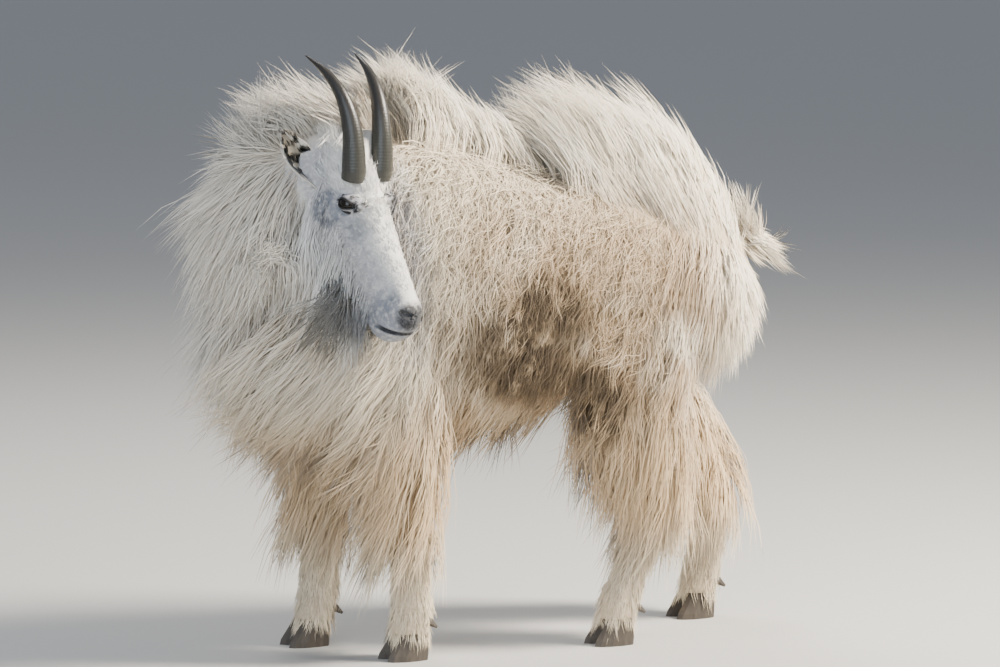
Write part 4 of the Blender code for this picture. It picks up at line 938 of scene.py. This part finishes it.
def above_parting(places, soft=0.03):
    return smooth_step(places[:, 2] - size_along(0, PARTING)(places), -soft, soft)


def crest_comb(places, normals):
    lean = size_along(0, CREST_LEAN)(places)
    return unit(np.stack([lean, -places[:, 1] * 0.3, np.ones(len(lean))], axis=1))


def crest_stand(places, normals):
    return 0.18 + 0.67 * smooth_step(normals[:, 2], 0.45, 0.85)


white_hair = hair_material("plume hair", PLUME_ROOT, root_share=0.40, dull=0.20)
body_hair = hair_material("body hair", WOOL_ROOT, 0.75, WOOL_TIP, 0.62, dull=0.48)
for end, low, high, count in (("front", -0.60, 0.04, 530), ("rear", 0.04, 0.60, 710)):
    grow(
        f"coat_crest_{end}", white_hair, count,
        lambda p, n: on_trunk(p) * above_parting(p) * (p[:, 0] > low) * (p[:, 0] <= high),
        crest_comb, size_along(0, CREST_LONG), crest_stand, strands=10, bends=3,
        wave=0.003, spread=0.022, draw=0.35, drop=0.3, stray=0.05, unruly=0.07, pale=0.12,
    )


# The flanks: below the parting a band of felted, curling wool that is being shed, then longer hair
# that hangs straighter and leans forward as it falls. Behind the hips it radiates from the tail.
FLANK_LEAN = -0.38
FELT_DEEP = 0.20
WHORL = np.array((0.425, 0.0, 0.715))


def hang_comb(places, normals):
    x, y, z = places.T
    hang = np.stack([np.full(len(x), FLANK_LEAN), np.sign(y) * 0.05, -np.ones(len(x))], axis=1)
    away = unit((places - WHORL) * np.array((1.0, 1.0, 1.3)) + np.array((0.0, 0.0, -0.06)))
    back = smooth_step(x, 0.24, 0.42)[:, None]
    return unit(unit(hang) * (1 - back) + away * back + np.array((0, 0, -0.25)) * back)


def in_felt(places):
    depth = size_along(0, PARTING)(places) - places[:, 2]
    forward = 1 - smooth_step(places[:, 0], 0.18, 0.32)
    fade = 1 - smooth_step(depth, FELT_DEEP * 0.4, FELT_DEEP * 1.5)
    return smooth_step(depth, -0.05, 0.02) * fade * forward


for side, out, share in (("left", -1, 1.0), ("right", 1, 0.45)):
    def here(p):
        return on_trunk(p) * (p[:, 1] * out > 0) * (1 - above_parting(p))

    grow(
        f"coat_felt_{side}", body_hair, int(760 * share), lambda p, n: here(p) * in_felt(p),
        hang_comb, 0.100, 0.28, strands=7, bends=4, width=0.0018, spread=0.024, draw=0.15,
        wave=0.010, waves=1.1, curl=0.0075, curls=0.9, stray=0.12, unruly=0.38, pale=0.12,
    )
    grow(
        f"coat_flank_{side}", body_hair, int(620 * share),
        lambda p, n: here(p) * (1 - in_felt(p) * 0.6) * (n[:, 2] > -0.75) * (p[:, 0] < 0.30),
        hang_comb, size_along(2, ((0.45, 0.16), (0.60, 0.14), (0.80, 0.11))), 0.30,
        strands=9, wave=0.008, waves=1.5, spread=0.018, draw=0.65, stray=0.08, unruly=0.15,
    )
    grow(
        f"coat_rump_{side}", white_hair, int(430 * share), lambda p, n: here(p) * (p[:, 0] >= 0.27),
        hang_comb, size_along(0, ((0.36, 0.145), (0.46, 0.100))), 0.38,
        strands=10, bends=3, wave=0.004, spread=0.020, stray=0.05, draw=0.5, pale=0.05,
    )
grow(
    "coat_belly", body_hair, 150,
    lambda p, n: on_trunk(p) * (n[:, 2] < -0.5) * (p[:, 2] < 0.60) * (p[:, 0] > -0.25),
    hang_comb, 0.12, 0.5, strands=8, bends=3, spread=0.018,
)


# The neck's coat: an erect mane along the nape, a deep ruff that hangs at the sides and throat, and
# the brisket's long hair, swept forward and down in pointed locks. Shed wool hangs from the ruff.
SHED_AT = np.array((-0.50, -0.06, 0.76))


def near_head(places):
    return np.array([head_tree.find_nearest(Vector(place))[3] for place in places])


def neck_comb(places, normals):
    top = smooth_step(normals[:, 2], 0.10, 0.70)[:, None]
    erect = unit(normals * 0.4 + (-0.60, 0.05, 0.8))
    hang = unit(normals * 0.25 + (-0.42, 0.10, -1.0))
    return unit(erect * top + hang * (1 - top))


def brisket_comb(places, normals):
    near = (places[:, 1] < -0.02)[:, None]
    return unit(np.where(near, (-1.05, -0.05, -1.0), (-0.55, 0.10, -1.0)) + normals * 0.1)


def on_neck(places):
    ahead = (places - NECK_SEAM_AT) @ NECK_SEAM_WAY >= 0
    behind = (places - HEAD_SEAM_AT) @ HEAD_SEAM_WAY < 0.01
    return ahead * behind


grow(
    "coat_nape", white_hair, 480, lambda p, n: on_neck(p) * (n[:, 2] > 0.25) * (p[:, 2] > 0.62),
    neck_comb, 0.125, 0.75, strands=10, bends=3, spread=0.020, drop=0.4, draw=0.35,
)
grow(
    "coat_ruff", white_hair, 820, lambda p, n: on_neck(p) * (n[:, 2] <= 0.35) * (p[:, 2] > 0.62),
    neck_comb, size_along(0, ((-0.52, 0.20), (-0.35, 0.155))), 0.56,
    strands=9, bends=3, spread=0.019, wave=0.007, draw=0.5,
)
grow(
    "coat_brisket", body_hair, 530,
    lambda p, n: (p[:, 0] < -0.24) * (p[:, 2] <= 0.63) * (p[:, 2] > 0.40) * (n[:, 0] < 0.4),
    brisket_comb, 0.19, lambda p, n: size_along(0, ((-0.45, 0.68), (-0.32, 0.35)))(p),
    strands=9, bends=3, spread=0.018, draw=0.75, wave=0.007, pale=0.08,
)
grow(
    "coat_throat", white_hair, 320,
    lambda p, n: (near_head(p) < 0.13) * (p[:, 2] > 0.42) * (p[:, 2] < 0.86),
    lambda p, n: unit(n * 0.05 + (-0.40, 0.0, -1.0)), 0.085, 0.12, bends=3, draw=0.5,
)
grow(
    "coat_shed", white_hair, 26, lambda p, n: np.linalg.norm(p - SHED_AT, axis=1) < 0.06,
    lambda p, n: unit(n * 0.2 + (-0.5, -0.7, -0.5)), 0.13, 0.8,
    strands=16, bends=7, width=0.0026, spread=0.020, draw=0.75, wave=0.016, waves=1.3,
    curl=0.006, curls=2.0, drop=0.9, pale=0.2,
)


# The pantaloons: long, straight, silky hair on the upper legs, tan at the root, that fans forward.
# Below the knees and hocks the legs have short, thick hair down over the tops of the hooves.
def leg_comb(places, normals):
    fore = np.where(places[:, 1] < 0, -0.50, -0.38)
    lean = np.where(places[:, 0] < -0.05, fore, -0.27)
    return unit(np.stack([lean, 0.1 * normals[:, 1], -np.ones(len(lean))], axis=1))


def shin_comb(places, normals):
    low = (1 - smooth_step(places[:, 2], 0.05, 0.10))[:, None]
    return unit(np.array((0.0, 0.0, -1.0)) + normals * (0.15 + 0.35 * low))


LEG_ROOT = (0.42, 0.26, 0.125)
LEG_TIP = (0.88, 0.72, 0.49)
leg_hair = hair_material("leg hair", LEG_ROOT, 0.55, LEG_TIP, 0.60, dull=0.35)
for side, out in (("left", -1), ("right", 1)):
    for kind, low, high in (("fore", -0.6, -0.05), ("hind", -0.05, 0.8)):
        def leg(p, bottom, top):
            beside = (p[:, 1] * out > 0) * (p[:, 0] > low) * (p[:, 0] <= high) * (p[:, 0] < 0.6)
            return beside * (p[:, 2] > bottom) * (p[:, 2] < top)

        grow(
            f"coat_{kind}leg_{side}", leg_hair, 270, lambda p, n: leg(p, 0.225, 0.48),
            leg_comb, size_along(2, ((0.22, 0.100), (0.26, 0.170), (0.40, 0.200))), 0.42,
            strands=9, bends=3, wave=0.006, spread=0.017, draw=0.6, stray=0.06,
        )
        grow(
            f"coat_shin_{kind}_{side}", leg_hair, 330, lambda p, n: leg(p, 0.048, 0.25),
            shin_comb, size_along(2, ((0.05, 0.046), (0.09, 0.034), (0.24, 0.055))), 0.24,
            strands=6, bends=2, width=0.0017, wave=0.002, spread=0.009, draw=0.3, slot="short_coat", pale=0.1,
        )


# The tail: a short stump that ends in a soft tuft of straight white hair. The tuft streams back and
# down from the rump's plume.
grow(
    "coat_tail", white_hair, 90,
    lambda p, n: (p[:, 0] > 0.44) * (np.abs(p[:, 1]) < 0.03) * (p[:, 2] > 0.66) * (p[:, 2] < 0.80),
    lambda p, n: unit(n * 0.15 + (0.80, 0.0, -0.50)), 0.080, 0.20,
    strands=10, bends=3, wave=0.004, spread=0.010,
)


# The head's hair: a long silky beard under the jaw and chin, long hair on the cheeks and round the
# horns, and short fur on the face that is shortest at the nose, where the skin shows through.
FACE_ROOT = (0.24, 0.24, 0.26)
FACE_TIP = (0.93, 0.91, 0.87)
BEARD_ROOT = (0.50, 0.50, 0.50)
BEARD_TIP = (0.97, 0.96, 0.94)
LIP_BARE = 0.006
NOSTRIL_BARE = 0.014


def head_local(places):
    return (places - np.array(HEAD_AT)) @ HEAD_AXES.T


def size_on_head(stops):
    """Return a size that varies along the head, from stops of (place, size)."""
    return lambda places: np.interp(head_local(places)[:, 0], *np.array(stops).T)


def on_head(places, low, high):
    """Return 1 on the head between two places along it."""
    a = head_local(places)[:, 0]
    return (a > low) * (a < high)


def off_eye(places, room):
    a, h, _ = head_local(places).T
    return np.hypot(a - EYE_AT[0], h - EYE_AT[1]) > room


def off_mouth(places):
    a, h, _ = head_local(places).T
    gape = np.abs(h - MOUTH_CORNER[1] - (a - MOUTH_CORNER[0]) * MOUTH_RISE)
    off_nostril = np.hypot(a - NOSTRIL_AT[0], h - NOSTRIL_AT[1]) > NOSTRIL_BARE
    return ((a < MOUTH_CORNER[0]) | (gape > LIP_BARE)) * off_nostril


def face_comb(places, normals):
    """Back from the nose, turning down on the cheeks and the jaw, and away from the eye's slit."""
    local = head_local(places)
    low = smooth_step(-local[:, 1], 0.035, 0.075)[:, None]
    back = -HEAD_AXES[0] * 0.9 - HEAD_AXES[1] * 0.35
    combed = back * (1 - low) + np.array((-0.45, 0.05, -1.0)) * low
    from_eye = local[:, :2] - np.array(EYE_AT[:2])
    close = 1 - smooth_step(np.hypot(*from_eye.T), 0.024, 0.040)[:, None]
    return unit(combed * (1 - close) + unit(from_eye) @ HEAD_AXES[:2] * close)


def cheek_comb(places, normals):
    return unit(normals * 0.10 + (-0.40, 0.02, -1.0))


def beard_comb(places, normals):
    """Straight down under the jaw, sweeping back and to one side under the chin."""
    fore = smooth_step(head_local(places)[:, 0], 0.05, 0.20)[:, None]
    return unit(np.array((-0.35, -0.05, -1.0)) * (1 - fore) + np.array((-0.75, 0.10, -0.80)) * fore)


face_hair = hair_material("face hair", FACE_ROOT, 0.60, FACE_TIP, 0.40, dull=0.60)
beard_hair = hair_material("beard hair", BEARD_ROOT, 0.35, BEARD_TIP, 0.85, dull=0.25)
grow(
    "coat_beard", beard_hair, 190,
    lambda p, n: on_head(p, 0.00, 0.225) * (head_local(p)[:, 1] < -0.088) * (n @ HEAD_AXES[1] < 0.3),
    beard_comb, size_on_head(((0.02, 0.17), (0.11, 0.19), (0.17, 0.17), (0.225, 0.07))), 0.36,
    strands=12, wave=0.006, spread=0.014, width=0.0018, draw=0.5, on_face=True,
)
grow(
    "coat_cheeks", beard_hair, 420,
    lambda p, n: on_head(p, -0.12, 0.15) * smooth_step(head_local(p) @ (-0.25, -1.0, 0.0), 0.040, 0.085),
    cheek_comb, size_on_head(((-0.08, 0.085), (0.02, 0.070), (0.10, 0.050), (0.15, 0.025))), 0.20,
    strands=9, bends=3, wave=0.004, spread=0.011, width=0.0017, draw=0.4, on_face=True,
)
grow(
    "coat_brow", face_hair, 90,
    lambda p, n: on_head(p, 0.012, 0.046) * (head_local(p)[:, 1] > -0.040) * off_eye(p, 0.022),
    lambda p, n: unit(-HEAD_AXES[0] + n * 0.25), 0.034, 0.42,
    bends=3, wave=0.002, spread=0.008, width=0.0014, draw=0.3, on_face=True, pale=0.15,
)
grow(
    "coat_crown", beard_hair, 230,
    lambda p, n: on_head(p, -0.12, 0.035) * (head_local(p)[:, 1] > -0.055) * off_eye(p, 0.030),
    lambda p, n: unit(-HEAD_AXES[0] + n * 0.4), 0.034, 0.45,
    strands=9, bends=3, wave=0.004, spread=0.009, width=0.0017, draw=0.3, on_face=True,
)
grow(
    "coat_face", face_hair, 1150,
    lambda p, n: on_head(p, -0.11, 0.266) * off_eye(p, 0.0200) * off_mouth(p),
    face_comb,
    size_on_head(((-0.05, 0.030), (0.03, 0.019), (0.10, 0.019), (0.20, 0.013), (0.266, 0.004))), 0.17,
    strands=7, bends=2, width=0.0013, wave=0.0008, spread=0.006, draw=0.2, stray=0.06,
    on_face=True, slot="face",
)
for side, ear_ground in ear_grounds.items():
    grow(
        f"coat_ear_{side}", face_hair, 170, lambda p, n: (n @ HEAD_AXES[1] < 0.10) * 1.0,
        lambda p, n: unit(ear_ways[side] + HEAD_AXES[1] * 0.15), 0.017, 0.15,
        strands=7, bends=2, width=0.0012, wave=0.001, spread=0.004, draw=0.3,
        ground=ear_ground, on_face=True, slot="ear",
    )


# The eyes: a wet ball in each socket, almost all dark brown iris and pupil. They are built before the
# lids, which close over them.
EYE_RADIUS = 0.0165
IRIS = (0.014, 0.008, 0.005)
PUPIL = (0.004, 0.003, 0.002)
eye_material, place, shader = new_material("eye", roughness=0.08, specular_ior_level=0.35)
paint(shader, place.noise(300.0).mix(PUPIL, IRIS))
for side, out in (("left", 1), ("right", -1)):
    middle = in_head(EYE_AT[0], EYE_AT[1], out * EYE_SET)
    edit = bmesh.new()
    bmesh.ops.create_uvsphere(edit, u_segments=48, v_segments=32, radius=EYE_RADIUS)
    ball = bpy.data.meshes.new(f"eyeball_{side}")
    edit.to_mesh(ball)
    edit.free()
    ball.shade_smooth()
    ball.materials.append(eye_material)
    for vertex in ball.vertices:
        vertex.co += middle
    settle(put(f"eyeball_{side}", ball), f"eye_{side}", slot="eye")


# The lids: thick folds of short-haired skin that close over the ball from above and below, with a
# black, wet edge. The slit between them is an almond that tilts up towards the nose's bridge.
SLIT_LONG = 0.0165
SLIT_RAISED = 0.0030
SLIT_UP = 0.0075
SLIT_DOWN = 0.0052
SLIT_TILT = math.radians(40)
LID_RADIUS = EYE_RADIUS + 0.0022
LID_REACH = 1.9
LID_ROUND = 0.0140
LID_SIDES = 96
LID_EDGE = (0.010, 0.009, 0.009)
LID_GREY = (0.30, 0.30, 0.33)
lid_material, place, shader = new_material("lids", roughness=0.8)
rim = place.read("rim")
nap = place.noise(700.0, 3.0, 0.6)
colour = (rim + nap * 0.15).step(0.30, 0.62).mix(LID_EDGE, LID_GREY)
colour = (rim + nap * 0.3).step(0.75, 1.2).mix(colour, FACE_WHITE)
paint(shader, colour, nap, 0.5, 0.0006)
for side, out in (("left", 1), ("right", -1)):
    turns = circle(LID_SIDES)
    long = SLIT_LONG * np.cos(turns)
    rise = np.sin(turns)
    tall = np.where(rise > 0, SLIT_UP, SLIT_DOWN) * signed_power(rise, 1.3)
    steps = np.concatenate([[0.98], np.linspace(1.0, LID_REACH, 14)])
    rings = []
    rims = []
    for turn_long, turn_tall in zip(long, tall):
        ring = []
        for k, grown in enumerate(steps):
            # Away from the slit the lid's outline turns from an almond into a circle
            round_off = (grown - 1) / (LID_REACH - 1) * 0.55
            reach = math.hypot(turn_long, turn_tall)
            scale = grown * ((1 - round_off) + round_off * LID_ROUND / max(reach, 1e-6))
            da = (turn_long * math.cos(SLIT_TILT) - turn_tall * math.sin(SLIT_TILT)) * scale
            dh = (turn_long * math.sin(SLIT_TILT) + turn_tall * math.cos(SLIT_TILT)) * scale
            dh += SLIT_RAISED
            a, h = EYE_AT[0] + da, EYE_AT[1] + dh
            ball = EYE_RADIUS + 0.0001 if k == 0 else LID_RADIUS
            away = math.hypot(da, dh)
            dome = EYE_SET + math.sqrt(max(ball**2 - away**2, 0))
            hit = head_tree.ray_cast(in_head(a, h, out * 0.12), HEAD_W * -out)[0]
            ground_w = out * (hit - HEAD_AT).dot(HEAD_W) if hit else dome
            fall = smooth_step(grown, 1.35, LID_REACH)
            level = max(dome, ground_w + 0.0010) * (1 - fall) + (ground_w - 0.0012) * fall if k else dome
            ring.append(in_head(a, h, out * level))
            rims.append((grown - 1) / (LID_REACH - 1))
        ring.append(in_head(EYE_AT[0] + da * 0.8, EYE_AT[1] + dh * 0.8, out * (EYE_SET - 0.006)))
        rims.append(1.0)
        rings.append(ring)
    count, size = len(rings), len(rings[0])
    faces = []
    for r in range(count):
        for k in range(size):
            near_ring, next_ring = r * size, (r + 1) % count * size
            n = (k + 1) % size
            faces.append((near_ring + k, near_ring + n, next_ring + n, next_ring + k))
    lids = add_mesh(f"lids_{side}", [point for ring in rings for point in ring], faces)
    lids.data.attributes.new("rim", "FLOAT", "POINT").data.foreach_set("value", rims)
    lids.data.materials.append(lid_material)
    lid_ground = Ground(lids)
    settle(lids, slot="face")
    grow(
        f"coat_lids_{side}", face_hair, 130, lambda p, n: off_eye(p, 0.0160), face_comb, 0.007, 0.08,
        strands=6, bends=2, width=0.0009, wave=0.0005, spread=0.003, draw=0.2, stray=0.06,
        ground=lid_ground, on_face=True, slot="face",
    )


# The horns: black keratin sheaths that grow from the skull behind the brow and curve back. They are
# ringed and dull where they are old, near the skull, and polished towards the tips.
HORN = (
    (0.012, -0.014, 0.029, 0.0215),
    (0.000, 0.000, 0.030, 0.0225),
    (-0.060, 0.036, 0.033, 0.0180),
    (-0.118, 0.050, 0.039, 0.0130),
    (-0.170, 0.042, 0.047, 0.0080),
    (-0.220, 0.017, 0.055, 0.0012),
)
HORN_SIDES = 40
HORN_RINGS = 240
RING_APART = 0.0052
RING_HIGH = 0.00018
HORN_BLACK = (0.012, 0.011, 0.011)
HORN_WORN = (0.040, 0.036, 0.032)
HORN_OLD = (0.047, 0.048, 0.038)
horn_material, place, shader = new_material("horn", roughness=0.38)
fibre = place.noise(260.0, 3.0, 0.6, (1.0, 1.0, 0.12))
old = 1 - from_head(place, -0.01, 0.01, 0.0).step(0.04, 0.11)
colour = fibre.mix(HORN_BLACK, HORN_WORN)
colour = (old * (0.35 + fibre * 0.5)).mix(colour, HORN_OLD)
paint(shader, colour, fibre, 0.5, 0.0008)


def horn_rings(out):
    path = np.array([in_head(a, h, out * w) for a, h, w, _ in HORN])
    reach = np.concatenate([[0], np.cumsum(np.linalg.norm(np.diff(path, axis=0), axis=1))])
    rows = [(reach[k], *path[k], HORN[k][3]) for k in range(len(HORN))]
    t = np.linspace(0, reach[-1], HORN_RINGS)
    middle = read_rows(rows, t)
    radius = middle[:, 3]
    middle = middle[:, :3]
    way = unit(np.gradient(middle, axis=0))
    left = unit(np.cross(np.array(HEAD_H), way))
    crown = np.cross(way, left)
    ringed = np.clip(1 - (t - 0.02) / 0.15, 0, 1)
    wobble = np.sin(t / RING_APART * 2 * math.pi + 0.8 * np.sin(t * 61))
    radius = radius + ringed * RING_HIGH * np.clip(wobble, -0.6, 1)
    angles = circle(HORN_SIDES)
    return (
        middle[:, None]
        + left[:, None] * (radius[:, None] * 0.92 * np.cos(angles))[..., None]
        + crown[:, None] * (radius[:, None] * np.sin(angles))[..., None]
    )


for side, out in (("left", 1), ("right", -1)):
    horn = add_mesh(f"horn_sheath_{side}", *loft(horn_rings(out)))
    horn.data.materials.append(horn_material)
    settle(horn, f"horn_{side}", slot="horn")


# The hooves and dewclaws: horn shoes round the toes, dull and scuffed with dust. They keep the shapes
# of their solids.
HOOF_DARK = (0.030, 0.025, 0.021)
HOOF_DUSTY = (0.11, 0.09, 0.07)
hoof_material, place, shader = new_material("hoof", roughness=0.55)
grain = place.noise(120.0, 3.0, 0.6, (1.0, 1.0, 0.25))
paint(shader, grain.mix(HOOF_DARK, HOOF_DUSTY))
for name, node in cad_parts.items():
    if name.startswith(("hoof", "dewclaw")):
        node.data.materials.clear()
        node.data.materials.append(hoof_material)


# The floor, the soft light and the camera. The light is a warm sun from the right and a blue sky on
# the other side, and the camera stands far off at the photograph's angle.
FLOOR_HALF = 90.0
SKY = (0.80, 0.87, 1.0, 1)
SKY_POWER = 0.42
LIT_MIDDLE = Vector((0, 0, 0.6))
floor_material, _, _ = new_material("floor", roughness=0.9, base_color=(0.50, 0.50, 0.49, 1))
floor_mesh = bpy.data.meshes.new("floor")
corners = [(x * FLOOR_HALF, y * FLOOR_HALF, 0) for x, y in ((-1, -1), (1, -1), (1, 1), (-1, 1))]
floor_mesh.from_pydata(corners, [], [(0, 1, 2, 3)])
floor_mesh.materials.append(floor_material)
put("floor", floor_mesh)

world = bpy.data.worlds.new("studio")
world.use_nodes = True
world.node_tree.nodes["Background"].inputs["Color"].default_value = SKY
world.node_tree.nodes["Background"].inputs["Strength"].default_value = SKY_POWER
bpy.context.scene.world = world


def stand_off(made, middle, azimuth, elevation, away):
    """Stand a lamp or the camera away from a middle that it looks at; azimuth 0 is square to the goat."""
    angle = math.radians(azimuth)
    rise = math.radians(elevation)
    back = Vector((math.sin(angle) * math.cos(rise), -math.cos(angle) * math.cos(rise), math.sin(rise)))
    made.location = middle + back * away
    made.rotation_mode = "QUATERNION"
    made.rotation_quaternion = (-back).to_track_quat("-Z", "Y")


def soft_light(name, azimuth, elevation, away, size, power, colour):
    lamp = bpy.data.lights.new(name, "AREA")
    lamp.size = size
    lamp.energy = power
    lamp.color = colour
    stand_off(put(name, lamp), LIT_MIDDLE, azimuth, elevation, away)


soft_light("key", 58, 42, 4.0, 1.2, 700, (1.0, 0.91, 0.77))
soft_light("fill", -45, 15, 5.0, 3.0, 130, (0.82, 0.91, 1.0))
soft_light("back", 175, 50, 4.5, 1.6, 120, (1.0, 0.96, 0.9))

VIEW_AZIMUTH = -25
VIEW_ELEVATION = 6.0
VIEW_MIDDLE = Vector((0, 0, 0.56))
VIEW_AWAY = 10.0
camera_data = bpy.data.cameras.new("camera")
camera_data.lens = 200
camera_data.sensor_width = 36
camera = put("camera", camera_data)
stand_off(camera, VIEW_MIDDLE + SHIFT, VIEW_AZIMUTH, VIEW_ELEVATION, VIEW_AWAY)
bpy.context.scene.camera = camera
